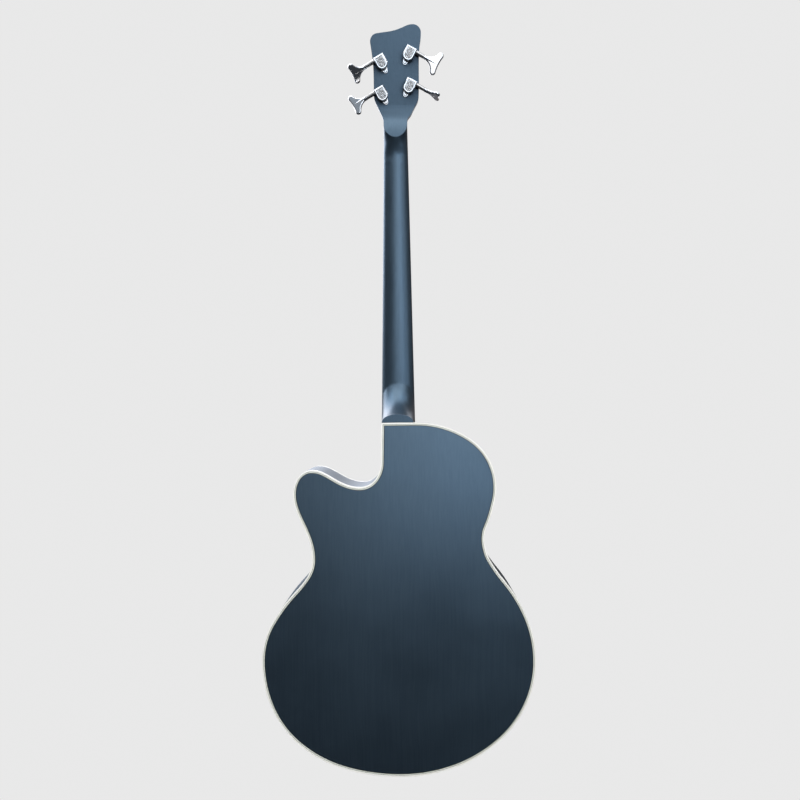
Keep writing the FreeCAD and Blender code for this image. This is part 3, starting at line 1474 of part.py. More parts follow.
def post_bore(name):
    """The stepped hole through the headstock for a tuner's post and bushing."""
    x, height, side, key_turn = TUNERS[name]
    centre = Vector(x, height, 0)
    wide = Part.makeCylinder(d.bushing_diameter / 2 + d.joint_clearance,
                             d.bushing_length + d.joint_clearance, centre)
    narrow = Part.makeCylinder(d.post_diameter / 2 + d.post_room, 2 * d.headstock_thickness, centre)
    bore = wide.fuse(narrow)
    bore.Placement = head_frame
    return bore


def make_bushings():
    """Flanged bushings in the headstock's face."""
    items = []
    for name, (x, height, side, key_turn) in TUNERS.items():
        place = head_frame.multiply(at(x, height, 0))
        sleeve = cylinder("bushing_sleeve_" + name, "bushing_diameter / 2", "bushing_length", place)
        flange = cone("bushing_flange_" + name, "bushing_flange / 2 - bushing_flange_height / 2",
                      "bushing_flange / 2", "bushing_flange_height",
                      place.multiply(at(0, 0, -d.bushing_flange_height)))
        whole = fuse("bushing_solid_" + name, [sleeve, flange])
        bore = cylinder("bushing_bore_" + name, "post_diameter / 2 + post_running_fit",
                        "bushing_length + 4 * bushing_flange_height",
                        place.multiply(at(0, 0, -2 * d.bushing_flange_height)))
        items.append(cut("bushing_" + name, whole, bore))
    piece("tuner_bushings", group("bushing_set", items))


def plate_outline(side, z, radius, tab_radius):
    """Outline of a base plate: round at the post, square under the worm, a tab with a round end."""
    flat = housing_flat
    tab = -d.tab_reach
    turn = math.asin(PLATE_SHOULDER)
    lean = radius * math.cos(turn)
    nose = -d.housing_nose
    shoulder = nose - radius * math.sin(turn)
    points = [
        Vector(-radius * side, nose, z), Vector(-radius * side, flat, z), Vector(radius * side, flat, z),
        Vector(radius * side, nose, z), Vector(lean * side, shoulder, z), Vector(tab_radius * side, tab, z),
        Vector(-tab_radius * side, tab, z), Vector(-lean * side, shoulder, z),
    ]

    def line(low, high):
        return Part.LineSegment(points[low], points[high]).toShape()

    round_out = Vector(radius * math.cos(turn / 2) * side, nose - radius * math.sin(turn / 2), z)
    round_in = Vector(-round_out.x, round_out.y, z)
    return Part.Wire([
        line(0, 1), line(1, 2), line(2, 3),
        Part.Arc(points[3], round_out, points[4]).toShape(),
        line(4, 5),
        Part.Arc(points[5], Vector(0, tab - tab_radius, z), points[6]).toShape(),
        line(6, 7),
        Part.Arc(points[7], round_in, points[0]).toShape(),
    ])


def make_base_plates():
    """The four base plates under the housings, each with its screw hole and post hole."""
    plates = []
    for name in TUNERS:
        outline = plate_outline(tuner_side(name), 0, d.plate_radius, d.tab_radius)
        plate = Part.Face(outline).extrude(Vector(0, 0, d.base_thickness))
        post_hole = Part.makeCylinder(d.post_stub_diameter / 2 + d.post_running_fit, d.base_thickness)
        screw_spot = Vector(0, -d.tab_reach, 0)
        hole = Part.makeCylinder(d.screw_diameter / 2 + d.screw_clearance, d.base_thickness, screw_spot)
        plate = plate.cut(post_hole).cut(hole)
        plate.Placement = tuner_frame(name)
        plates.append(plate)
    piece("tuner_base_plates", formed("tuner_base_plates", Part.makeCompound(plates)))


def housing_outline(side, z, shrink):
    """Outline of a housing: a round cap with a straight upper edge over the worm."""
    radius = d.housing_radius - shrink
    flat = housing_flat - shrink
    inner = radius - d.housing_taper
    nose = -d.housing_nose
    points = [Vector(-inner * side, flat, z), Vector(radius * side, flat, z), Vector(radius * side, nose, z),
              Vector(0, nose - radius, z), Vector(-radius * side, nose, z)]
    half = math.sqrt(0.5)
    return Part.Wire([
        Part.LineSegment(points[0], points[1]).toShape(),
        Part.LineSegment(points[1], points[2]).toShape(),
        Part.Arc(points[2], Vector(radius * half * side, nose - radius * half, z), points[3]).toShape(),
        Part.Arc(points[3], Vector(-radius * half * side, nose - radius * half, z), points[4]).toShape(),
        Part.LineSegment(points[4], points[0]).toShape(),
    ])


def make_housing(name):
    """Die-cast cap over gear and worm, with a bearing at each end of the worm."""
    side = tuner_side(name)
    foot = d.base_thickness
    top = foot + d.housing_height
    bevel = d.housing_bevel
    lower = Part.Face(housing_outline(side, foot, 0)).extrude(Vector(0, 0, d.housing_height - bevel))
    crown_foot = housing_outline(side, top - bevel, 0)
    crown = Part.makeLoft([crown_foot, housing_outline(side, top, bevel)], True, True)
    cap = lower.fuse(crown).removeSplitter()

    gear_room = gear_z - foot + d.gear_thickness + d.housing_room
    cavity = Part.makeCylinder(gear_crest + d.housing_room, gear_room, Vector(0, 0, foot))
    room = worm_crest + d.housing_room
    half = worm_half + d.worm_end_play
    axis = Vector(side, 0, 0)
    centre = Vector(0, centre_distance, worm_z)
    tunnel = Part.makeCylinder(room, 2 * half, centre - axis * half, axis)
    lower_room = region(x=(-half, half), y=(centre_distance - room, centre_distance + room),
                        z=(foot, worm_z))
    bearing_radius = d.key_shaft_diameter / 2 + d.post_running_fit
    bearing = Part.makeCylinder(bearing_radius, 2 * d.housing_radius, centre, axis)
    pivot_depth = worm_half + d.pivot_length + d.post_running_fit
    pivot = Part.makeCylinder(d.pivot_radius + d.post_running_fit, pivot_depth, centre, axis * -1)
    recess = Part.Face(housing_outline(side, top - d.housing_recess, bevel + d.housing_border))
    recess = recess.extrude(Vector(0, 0, 2 * d.housing_recess))
    shell = cap.cut(cavity).cut(tunnel).cut(lower_room).cut(bearing).cut(pivot).cut(recess)
    piece("tuner_%s_housing" % name, formed("tuner_%s_housing" % name, shell, tuner_frame(name)))


def make_worm(name):
    """Worm with its helical thread, its inner pivot and the shaft that carries the key."""
    side = tuner_side(name)
    axis = Vector(side, 0, 0)
    centre = Vector(0, centre_distance, worm_z)
    start = centre - axis * worm_half
    core = Part.makeCylinder(d.worm_radius, d.worm_length, start, axis)
    pivot = Part.makeCylinder(d.pivot_radius, d.pivot_length - d.post_running_fit, start, axis * -1)
    shaft_radius = d.key_shaft_diameter / 2
    shaft_length = d.key_stem + d.key_shaft_grip - worm_half
    shaft = Part.makeCylinder(shaft_radius, shaft_length, centre + axis * worm_half, axis)
    collar_start = centre + axis * (d.housing_radius + d.key_collar_gap)
    collar = Part.makeCone(d.key_collar_diameter / 2, d.key_collar_end_diameter / 2, d.key_collar_length,
                           collar_start, axis)
    turns = int((d.worm_length - d.thread_run_out) / worm_pitch)
    length = turns * worm_pitch
    root = d.worm_radius - d.thread_root
    helix = Part.makeHelix(worm_pitch, length, root, 0, side < 0)
    half = d.thread_width / 2
    root_half = half + d.thread_root
    points = [Vector(root, 0, -root_half), Vector(worm_crest, 0, -half), Vector(worm_crest, 0, half),
              Vector(root, 0, root_half)]
    profile = Part.makePolygon(points + points[:1])
    thread = Part.Wire(helix).makePipeShell([profile], True, True)
    thread.Placement = thread_place(side, turns, length)
    worm = core.fuse(pivot).fuse(shaft).fuse(collar).fuse(thread)
    piece("tuner_%s_worm" % name, formed("tuner_%s_worm" % name, worm, tuner_frame(name)))


def thread_place(side, turns, length):
    """Lay the thread's axis along the worm, with a crest in the middle facing the gear."""
    lie = turned((0, 1, 0), 90 * side)
    toward_gear = lie.inverted().multVec(Vector(0, -1, 0))
    now = math.degrees(math.atan2(toward_gear.y, toward_gear.x))
    half_turns = turns / 2 * 360
    phase = now - half_turns * (1 if side > 0 else -1)
    spin = turned((0, 0, 1), phase)
    base = Vector(-length / 2 * side, centre_distance, worm_z)
    return Placement(base, lie.multiply(spin))


def make_gear(name):
    """Gear on the post, with straight-sided teeth and a gap facing the worm at rest."""
    teeth = int(d.gear_teeth)
    root = gear_radius - d.gear_module * TOOTH_ROOT
    step = 2 * math.pi / teeth
    corners = ((-ROOT_HALF, root), (-CREST_HALF, gear_crest), (CREST_HALF, gear_crest), (ROOT_HALF, root))
    points = []
    for tooth in range(teeth):
        centre = math.pi / 2 + (tooth + 0.5) * step
        for offset, radius in corners:
            angle = centre + offset * step
            points.append(Vector(radius * math.cos(angle), radius * math.sin(angle), gear_z))
    wheel = Part.Face(Part.makePolygon(points + points[:1])).extrude(Vector(0, 0, d.gear_thickness))
    bore = Part.makeCylinder(d.post_stub_diameter / 2, d.gear_thickness, Vector(0, 0, gear_z))
    piece("tuner_%s_gear" % name, formed("tuner_%s_gear" % name, wheel.cut(bore), tuner_frame(name)))


def make_post(name):
    """String post: stub through the base plate, shoulder, barrel and slotted end."""
    frame = tuner_frame(name)
    top = STRING_EDGES[name][2]
    barrel_end = top - d.post_margin - d.headstock_thickness
    stub_height = "post_foot + base_thickness + gear_lift + gear_thickness + post_stub_rise"
    stub = cylinder("post_stub_" + name, "post_stub_diameter / 2", stub_height,
                    frame.multiply(at(0, 0, -d.post_foot)))
    barrel = doc.addObject("Part::Cylinder", "post_barrel_" + name)
    bind(barrel, Radius="post_diameter / 2")
    barrel.Height = -barrel_end - d.rod_clearance
    barrel.Placement = frame.multiply(at(0, 0, barrel_end))
    whole = fuse("post_whole_" + name, [stub, barrel])
    slot_half = (STRING_GAUGES[name] + d.post_slot_clearance) / 2
    slot = region(x=(-d.post_diameter, d.post_diameter), y=(-slot_half, slot_half),
                  z=(barrel_end - d.post_slot_depth, barrel_end + d.post_slot_depth))
    slot.Placement = frame
    piece("tuner_%s_post" % name, cut("post_slotted_" + name, whole, formed("post_slot_" + name, slot)))


# Where the key's outline meets and leaves its lobe, and the dip between the lobes, in degrees
LOBE_JOIN = 160.0
LOBE_LEAVE = -12.0
LOBE_DIP = 6.0


def make_key(name):
    """Key with two lobes, its edges rounded, turned about its shaft as it hangs."""
    side = tuner_side(name)
    key_turn = TUNERS[name][3]
    lobe = Vector(d.key_reach, d.key_lobe_offset, 0)
    join = lobe + heading_vector(LOBE_JOIN) * d.key_lobe_radius
    leave = lobe + heading_vector(LOBE_LEAVE) * d.key_lobe_radius
    crown = lobe + heading_vector((LOBE_JOIN + LOBE_LEAVE) / 2) * d.key_lobe_radius
    stem = Vector(d.key_stem, d.key_stem_half, 0)

    def flip(point):
        return Vector(point.x, -point.y, 0)

    upper = [arc_edge(stem, Vector(1, 0, 0), join), Part.Arc(join, crown, leave).toShape()]
    middle = Vector(leave.x - leave.y * math.tan(math.radians(LOBE_DIP)), 0, 0)
    outer = Part.Arc(leave, middle, flip(leave)).toShape()
    lower = [edge.mirror(Vector(0, 0, 0), Vector(0, 1, 0)) for edge in reversed(upper)]
    back = Part.LineSegment(flip(stem), stem).toShape()
    edges = Part.__sortEdges__(upper + [outer] + lower + [back])
    paddle = Part.Face(Part.Wire(edges)).extrude(Vector(0, 0, d.key_thickness))
    paddle.translate(Vector(0, 0, -d.key_thickness / 2))
    rounded = [edge for edge in paddle.Edges
               if edge.BoundBox.ZLength < 1e-6 and edge.BoundBox.XMax > stem.x + d.key_rounding]
    paddle = paddle.makeFillet(d.key_rounding, rounded)
    mouth = Vector(d.key_stem - d.key_socket_lip, 0, 0)
    socket = Part.makeCone(d.key_stem_radius, d.key_socket_end_radius, d.key_socket_length, mouth,
                           Vector(1, 0, 0))
    bore_depth = d.key_socket_lip + d.key_shaft_grip + d.key_shaft_fit
    bore = Part.makeCylinder(d.key_shaft_diameter / 2 + d.key_shaft_fit, bore_depth, mouth,
                             Vector(1, 0, 0))
    key = paddle.fuse(socket).cut(bore)
    heading = turned((0, 0, 1), 0 if side > 0 else 180)
    local = Placement(Vector(0, centre_distance, worm_z), heading.multiply(turned((1, 0, 0), key_turn)))
    piece("tuner_%s_key" % name, formed("tuner_%s_key" % name, key, tuner_frame(name).multiply(local)))


# Output jack

def make_output_jack():
    """Jack barrel through the tail block with the strap button, and its inner nut."""
    body = new_body("jack_body", at(0, -d.jack_depth, tail_z))
    barrel = new_sketch(body, "jack_barrel_outline", "XY_Plane")
    sketch_circle(barrel, "jack_diameter / 2")
    pad(body, "jack_barrel", barrel, "jack_length")
    neck = new_sketch(body, "strap_neck_outline", "XY_Plane")
    sketch_circle(neck, "strap_neck_diameter / 2")
    pad(body, "strap_neck", neck, "strap_button_length", backwards=True)
    flange = new_sketch(body, "jack_flange_outline", "XY_Plane")
    sketch_circle(flange, "strap_button_diameter / 2")
    pad(body, "jack_flange", flange, "strap_flange_thickness", backwards=True)
    rim_place = at(0, 0, -d.strap_button_length)
    button = new_sketch(body, "strap_rim_outline", "XY_Plane", rim_place)
    sketch_circle(button, "strap_button_diameter / 2")
    pad(body, "strap_rim", button, "strap_rim_thickness")
    bore = new_sketch(body, "jack_bore_outline", "XY_Plane")
    sketch_circle(bore, "jack_bore / 2")
    pocket(body, "jack_bore_cut", bore, "2 * jack_length - 2 * jack_end")
    piece("output_jack", body)

    nut_z = tail_z + d.rim_thickness + d.tail_block_length
    nut = doc.addObject("Part::Prism", "jack_nut_blank")
    nut.Polygon = 6
    bind(nut, Circumradius="jack_nut_size / 2 / cos(30)", Height="jack_nut_thickness")
    nut.Placement = at(0, -d.jack_depth, nut_z)
    hole = cylinder("jack_nut_hole", "jack_diameter / 2 + pin_clearance", "3 * jack_nut_thickness",
                    at(0, -d.jack_depth, nut_z - d.jack_nut_thickness))
    piece("output_jack_nut", cut("jack_nut_bored", nut, hole))


make_body_shell()
make_blocks()
make_braces()
make_bridge()
make_neck()
make_truss_rod()
make_screws()
make_fretboard()
make_strings()
make_bushings()
make_base_plates()
for tuner in TUNERS:
    make_housing(tuner)
    make_worm(tuner)
    make_gear(tuner)
    make_post(tuner)
    make_key(tuner)
make_output_jack()

doc.recompute()
for item in doc.Objects:
    if "Invalid" in item.State or "Error" in item.State:
        raise RuntimeError("%s is in state %s" % (item.Name, item.State))
for item in pieces:
    if item.Shape.isNull() or not item.Shape.isValid() or not item.Shape.Solids:
        raise RuntimeError("%s has no valid solid" % item.Label)
for item in pieces:
    item.Shape.exportStep("parts/%s.step" % item.Label)
print("%d pieces written" % len(pieces))
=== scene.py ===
"""Finishes, room, floor and camera for the acoustic bass guitar, seen from its back."""
import json
import math

import bpy
import numpy as np
from mathutils import Matrix, Vector


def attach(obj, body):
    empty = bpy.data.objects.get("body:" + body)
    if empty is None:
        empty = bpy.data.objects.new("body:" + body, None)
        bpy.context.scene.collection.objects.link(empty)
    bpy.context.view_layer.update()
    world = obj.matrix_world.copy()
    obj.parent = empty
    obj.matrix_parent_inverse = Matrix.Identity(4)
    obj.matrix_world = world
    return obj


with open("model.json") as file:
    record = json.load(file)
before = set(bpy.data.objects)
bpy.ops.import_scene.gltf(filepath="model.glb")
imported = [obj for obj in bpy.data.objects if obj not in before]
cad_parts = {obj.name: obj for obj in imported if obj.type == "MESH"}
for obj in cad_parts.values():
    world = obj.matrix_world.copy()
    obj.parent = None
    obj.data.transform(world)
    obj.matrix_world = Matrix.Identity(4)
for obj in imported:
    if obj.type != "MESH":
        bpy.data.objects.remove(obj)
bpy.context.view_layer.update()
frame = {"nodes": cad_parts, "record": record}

MM = 0.001


# Node helpers

def feed(tree, socket, term):
    """Sets a socket to a number or colour, or links another node's output to it."""
    if isinstance(term, bpy.types.NodeSocket):
        tree.links.new(term, socket)
    else:
        socket.default_value = term


def place(tree, kind, sockets=None, **settings):
    """A new node with its settings and the terms of its named or numbered sockets."""
    made = tree.nodes.new(kind)
    for name, value in settings.items():
        setattr(made, name, value)
    for name, term in (sockets or {}).items():
        feed(tree, made.inputs[name], term)
    return made


def calc(tree, operation, first, second=0.0, third=0.0):
    """The result of one Math node."""
    return place(tree, "ShaderNodeMath", {0: first, 1: second, 2: third}, operation=operation).outputs[0]


def vector_calc(tree, operation, first, second, output="Vector"):
    """The result of one Vector Math node."""
    made = place(tree, "ShaderNodeVectorMath", {0: first, 1: second}, operation=operation)
    return made.outputs[output]


def blend_colours(tree, share, first, second):
    """First colour where the share is 0, second where it is 1."""
    made = place(tree, "ShaderNodeMix", {0: share, 6: first, 7: second}, data_type="RGBA")
    return made.outputs[2]


def between(tree, value, low, high, to_low=0.0, to_high=1.0):
    """Maps a value smoothly from one range to another, and holds it there."""
    made = place(tree, "ShaderNodeMapRange",
                 {"Value": value, "From Min": low, "From Max": high, "To Min": to_low, "To Max": to_high},
                 interpolation_type="SMOOTHSTEP")
    return made.outputs["Result"]


def noise(tree, where, scale, detail=3.0, roughness=0.5):
    """Cloudy noise from 0 to 1 at a place."""
    made = place(tree, "ShaderNodeTexNoise",
                 {"Vector": where, "Scale": scale, "Detail": detail, "Roughness": roughness})
    return made.outputs["Fac"]


def object_place(tree):
    """The point on the piece, in metres, in its own coordinates."""
    return place(tree, "ShaderNodeTexCoord").outputs["Object"]


def new_group(name, inputs, outputs):
    """An empty node group with named number inputs and named outputs."""
    tree = bpy.data.node_groups.new(name, "ShaderNodeTree")
    for title, value in inputs.items():
        tree.interface.new_socket(title, in_out="INPUT", socket_type="NodeSocketFloat").default_value = value
    for title, kind in outputs.items():
        tree.interface.new_socket(title, in_out="OUTPUT", socket_type=kind)
    return tree, tree.nodes.new("NodeGroupInput").outputs, tree.nodes.new("NodeGroupOutput").inputs


def use(tree, group, **values):
    """Places a group in a material with its own values."""
    made = place(tree, "ShaderNodeGroup", node_tree=group)
    for name, value in values.items():
        feed(tree, made.inputs[name.replace("_", " ").capitalize()], value)
    return made.outputs


# Effects that several finishes share

def wood_grain_group():
    """Long wandering fibres and short dark pores along Z."""
    tree, given, result = new_group("wood grain", {"Across": 300.0, "Along": 5.0},
                                    {"Shade": "NodeSocketFloat", "Pores": "NodeSocketFloat"})
    where = object_place(tree)
    stretch = place(tree, "ShaderNodeCombineXYZ",
                    {"X": given["Across"], "Y": given["Across"], "Z": given["Along"]}).outputs[0]
    wander = noise(tree, where, 9.0, 2.0)
    sway = place(tree, "ShaderNodeCombineXYZ", {"X": calc(tree, "MULTIPLY", wander, 6.0)}).outputs[0]
    swayed = vector_calc(tree, "ADD", vector_calc(tree, "MULTIPLY", where, stretch), sway)
    fibres = noise(tree, swayed, 1.0, 5.0, 0.6)
    fine = vector_calc(tree, "MULTIPLY", swayed, (4.0, 4.0, 6.0))
    pores = between(tree, noise(tree, fine, 1.0, 2.0), 0.6, 0.7)
    feed(tree, result["Shade"], between(tree, fibres, 0.3, 0.7))
    feed(tree, result["Pores"], pores)
    return tree


def edge_wear_group():
    """Where the surface turns a corner: its softened normal and a broken mask of its rim."""
    tree, given, result = new_group("edge wear", {"Reach": 0.0006, "Patches": 90.0},
                                    {"Mask": "NodeSocketFloat", "Soft normal": "NodeSocketVector"})
    bevel = place(tree, "ShaderNodeBevel", {"Radius": given["Reach"]}, samples=4).outputs[0]
    plain = place(tree, "ShaderNodeNewGeometry").outputs["Normal"]
    turn = calc(tree, "SUBTRACT", 1.0, vector_calc(tree, "DOT_PRODUCT", bevel, plain, "Value"))
    patch = between(tree, noise(tree, object_place(tree), given["Patches"], 4.0), 0.35, 0.65)
    feed(tree, result["Mask"], calc(tree, "MULTIPLY", between(tree, turn, 0.02, 0.2), patch))
    feed(tree, result["Soft normal"], bevel)
    return tree


def handling_group():
    """Soft cloudiness, fine speckle and hairline rubs left by hands and cloths."""
    tree, given, result = new_group("handling marks", {"Cloud size": 12.0, "Rub size": 900.0},
                                    {"Cloud": "NodeSocketFloat", "Speckle": "NodeSocketFloat",
                                     "Rubs": "NodeSocketFloat"})
    where = object_place(tree)
    cloud = between(tree, noise(tree, where, given["Cloud size"], 4.0, 0.6), 0.3, 0.7)
    speckle = noise(tree, where, 1400.0, 2.0)
    slanted = place(tree, "ShaderNodeMapping", {"Vector": where, "Rotation": (0.3, 0.5, 0.2),
                                                "Scale": (1.0, 1.0, 0.05)}).outputs[0]
    rubs = between(tree, noise(tree, slanted, given["Rub size"], 2.0), 0.62, 0.72)
    feed(tree, result["Cloud"], cloud)
    feed(tree, result["Speckle"], speckle)
    feed(tree, result["Rubs"], rubs)
    return tree


# The painted shadow falls to the lower left of neighbouring pieces, as under lamps above and to the right of
# the guitar's back
PAINTED_SHADOW_LEAN = (0.55, 0.0, 0.6)
# How far the painted shadow of a neighbouring piece reaches, and how open its deepest part and its edge are
PAINTED_SHADOW_REACH = 0.028
PAINTED_SHADOW_DEEPEST = 0.4
PAINTED_SHADOW_EDGE = 0.83


def painted_contact_shadow_group():
    """How open a point is towards the lamps above it; small next to a neighbouring piece, where the lacquer
    gets a painted shadow.
    """
    tree, given, result = new_group("painted contact shadow", {"Reach": PAINTED_SHADOW_REACH}, {"Open": "NodeSocketFloat"})
    plain = place(tree, "ShaderNodeNewGeometry").outputs["Normal"]
    leaning = vector_calc(tree, "NORMALIZE", vector_calc(tree, "ADD", plain, PAINTED_SHADOW_LEAN), (0, 0, 0))
    shade = place(tree, "ShaderNodeAmbientOcclusion",
                  {"Distance": given["Reach"], "Normal": leaning}, samples=8)
    feed(tree, result["Open"], between(tree, shade.outputs["AO"], PAINTED_SHADOW_DEEPEST, PAINTED_SHADOW_EDGE))
    return tree


WOOD_GRAIN = wood_grain_group()
EDGE_WEAR = edge_wear_group()
HANDLING = handling_group()
PAINTED_CONTACT_SHADOW = painted_contact_shadow_group()


# Finishes

def new_finish(name, **plain):
    """A material with one Principled shader and the plain values of its sockets."""
    made = bpy.data.materials.new(name)
    made.use_nodes = True
    shader = made.node_tree.nodes["Principled BSDF"]
    for title, value in plain.items():
        shader.inputs[title.replace("_", " ").title().replace("Ior", "IOR")].default_value = value
    return made, made.node_tree, shader


def bumped(tree, shader, height, depth, soft_normal=None):
    """Gives the shader a relief, in metres, over its softened edges."""
    bump = place(tree, "ShaderNodeBump", {"Height": height, "Strength": 1.0, "Distance": depth})
    if soft_normal:
        feed(tree, bump.inputs["Normal"], soft_normal)
    feed(tree, shader.inputs["Normal"], bump.outputs[0])


# Heights between which the carved hollow of the heel is sanded round, and how far
HEEL_BLEND_FOOT = -0.510
HEEL_BLEND_HEAD = -0.498
HEEL_BLEND_TOP = -0.430
HEEL_BLEND_FADE = 0.02
HEEL_BLEND_REACH = 0.0045
# Rims of the lacquer, lightened partly as rubbed wear and partly as a painted edge highlight: how strongly
# they show and how far they reach, on the body and the neck
RIM_WEAR_AND_HIGHLIGHT_SHARE = 0.5
RIM_REACH = 0.7 * MM
NECK_RIM_WEAR_AND_HIGHLIGHT_SHARE = 0.9
NECK_RIM_REACH = 0.9 * MM
# The lacquer's colour follows the grain by this share, and the cloudiness by the rest
GRAIN_SHARE = 0.55
# Colour of the painted shadow next to a neighbouring piece, and how strongly it shows
PAINTED_SHADOW_TONE = (0.012, 0.018, 0.028, 1)
PAINTED_SHADOW_SHARE = 0.72


def lacquer(name, dark, light, rubbed_and_highlight_tone, grain_size=(420.0, 7.0), roughness=0.36, heel=False):
    """Satin see-through lacquer over wood: grain, cloudiness, fine orange peel, rims lightened partly as
    rubbed wear and partly as a painted edge highlight, and a painted shadow next to neighbouring pieces.

    The neck's heel turns into its shaft in a wide soft curve, without lightened rims there.
    """
    made, tree, shader = new_finish(name, Metallic=0.9)
    grain = use(tree, WOOD_GRAIN, across=grain_size[0], along=grain_size[1])
    marks = use(tree, HANDLING, cloud_size=9.0, rub_size=700.0)
    rim = RIM_WEAR_AND_HIGHLIGHT_SHARE
    reach = RIM_REACH
    if heel:
        height = place(tree, "ShaderNodeSeparateXYZ", {0: object_place(tree)}).outputs["Z"]
        hollow = calc(tree, "MULTIPLY", between(tree, height, HEEL_BLEND_FOOT, HEEL_BLEND_HEAD),
                      between(tree, height, HEEL_BLEND_TOP, HEEL_BLEND_TOP - HEEL_BLEND_FADE))
        reach = calc(tree, "MULTIPLY_ADD", hollow, HEEL_BLEND_REACH, NECK_RIM_REACH)
        rim = calc(tree, "MULTIPLY_ADD", hollow, -NECK_RIM_WEAR_AND_HIGHLIGHT_SHARE, NECK_RIM_WEAR_AND_HIGHLIGHT_SHARE)
    wear = use(tree, EDGE_WEAR, reach=reach, patches=45.0)
    clouded = calc(tree, "MULTIPLY", marks["Cloud"], 1 - GRAIN_SHARE)
    share = calc(tree, "MULTIPLY_ADD", grain["Shade"], GRAIN_SHARE, clouded)
    colour = blend_colours(tree, share, dark, light)
    # Rims lighten, partly as rubbed wear and partly as a painted edge highlight
    colour = blend_colours(tree, calc(tree, "MULTIPLY", wear["Mask"], rim), colour, rubbed_and_highlight_tone)
    # Painted shadow: the lacquer's colour darkens next to neighbouring pieces, where their shade falls
    painted_shadow = calc(tree, "SUBTRACT", 1.0, use(tree, PAINTED_CONTACT_SHADOW)["Open"])
    colour = blend_colours(tree, calc(tree, "MULTIPLY", painted_shadow, PAINTED_SHADOW_SHARE), colour, PAINTED_SHADOW_TONE)
    feed(tree, shader.inputs["Base Color"], colour)
    rough = calc(tree, "MULTIPLY_ADD", marks["Cloud"], 0.05, roughness - 0.03)
    rough = calc(tree, "MULTIPLY_ADD", marks["Rubs"], -0.05, rough)
    feed(tree, shader.inputs["Roughness"], rough)
    height = calc(tree, "MULTIPLY_ADD", grain["Pores"], -0.6, marks["Speckle"])
    bumped(tree, shader, height, 0.02 * MM, wear["Soft normal"])
    return made


def plain_wood(name, dark, light, across, along, roughness=0.62, pore=0.5, relief=0.05):
    """Bare or oiled wood with fibres, pores and handled rims."""
    made, tree, shader = new_finish(name)
    grain = use(tree, WOOD_GRAIN, across=across, along=along)
    marks = use(tree, HANDLING, cloud_size=20.0)
    wear = use(tree, EDGE_WEAR, reach=0.0004)
    colour = blend_colours(tree, grain["Shade"], dark, light)
    darker = [channel * 0.45 for channel in dark[:3]] + [1.0]
    colour = blend_colours(tree, calc(tree, "MULTIPLY", grain["Pores"], pore), colour, darker)
    lighter = [min(1.0, channel * 1.25) for channel in light[:3]] + [1.0]
    colour = blend_colours(tree, calc(tree, "MULTIPLY", wear["Mask"], 0.4), colour, lighter)
    feed(tree, shader.inputs["Base Color"], colour)
    feed(tree, shader.inputs["Roughness"], calc(tree, "MULTIPLY_ADD", marks["Cloud"], 0.12, roughness - 0.06))
    height = calc(tree, "MULTIPLY_ADD", grain["Pores"], -1.0, grain["Shade"])
    bumped(tree, shader, height, relief * MM, wear["Soft normal"])
    return made


def plated(name, colour, dull, roughness=0.1, reach=0.0003):
    """Plated or polished metal: clouded polish, hairlines and rims rubbed duller."""
    made, tree, shader = new_finish(name, Metallic=1.0)
    marks = use(tree, HANDLING, cloud_size=120.0, rub_size=2600.0)
    wear = use(tree, EDGE_WEAR, reach=reach, patches=400.0)
    tone = blend_colours(tree, calc(tree, "MULTIPLY", marks["Cloud"], 0.35), colour, dull)
    tone = blend_colours(tree, calc(tree, "MULTIPLY", wear["Mask"], 0.3), tone, dull)
    feed(tree, shader.inputs["Base Color"], tone)
    rough = calc(tree, "MULTIPLY_ADD", marks["Cloud"], 0.06, roughness - 0.03)
    rough = calc(tree, "MULTIPLY_ADD", marks["Rubs"], 0.12, rough)
    feed(tree, shader.inputs["Roughness"], rough)
    bumped(tree, shader, marks["Rubs"], 0.002 * MM, wear["Soft normal"])
    return made


def engraved_chrome(name, colour, dull):
    """Plated casting with raised curls: bright crowns, and grime in the cuts between them."""
    made, tree, shader = new_finish(name, Metallic=1.0)
    marks = use(tree, HANDLING, cloud_size=160.0, rub_size=2600.0)
    crown = place(tree, "ShaderNodeAttribute", attribute_name="crown").outputs["Fac"]
    shine = between(tree, crown, 0.1, 0.75)
    tone = blend_colours(tree, calc(tree, "MULTIPLY", marks["Cloud"], 0.5), colour, dull)
    feed(tree, shader.inputs["Base Color"], blend_colours(tree, shine, (0.13, 0.13, 0.12, 1), tone))
    rough = between(tree, crown, 0.0, 1.0, 0.42, 0.2)
    feed(tree, shader.inputs["Roughness"], calc(tree, "MULTIPLY_ADD", marks["Rubs"], 0.1, rough))
    bumped(tree, shader, marks["Speckle"], 0.004 * MM)
    return made


def polished_plastic(name, colour, deep, roughness=0.3, mottle=60.0, reach=0.0003):
    """Celluloid, bone or moulded plastic: faint mottling, speckle and softened rims."""
    made, tree, shader = new_finish(name, IOR=1.5)
    marks = use(tree, HANDLING, cloud_size=mottle, rub_size=1500.0)
    wear = use(tree, EDGE_WEAR, reach=reach, patches=200.0)
    tone = blend_colours(tree, marks["Cloud"], colour, deep)
    feed(tree, shader.inputs["Base Color"], tone)
    rough = calc(tree, "MULTIPLY_ADD", marks["Cloud"], 0.1, roughness - 0.05)
    rough = calc(tree, "MULTIPLY_ADD", wear["Mask"], 0.15, rough)
    feed(tree, shader.inputs["Roughness"], rough)
    bumped(tree, shader, marks["Speckle"], 0.004 * MM, wear["Soft normal"])
    return made


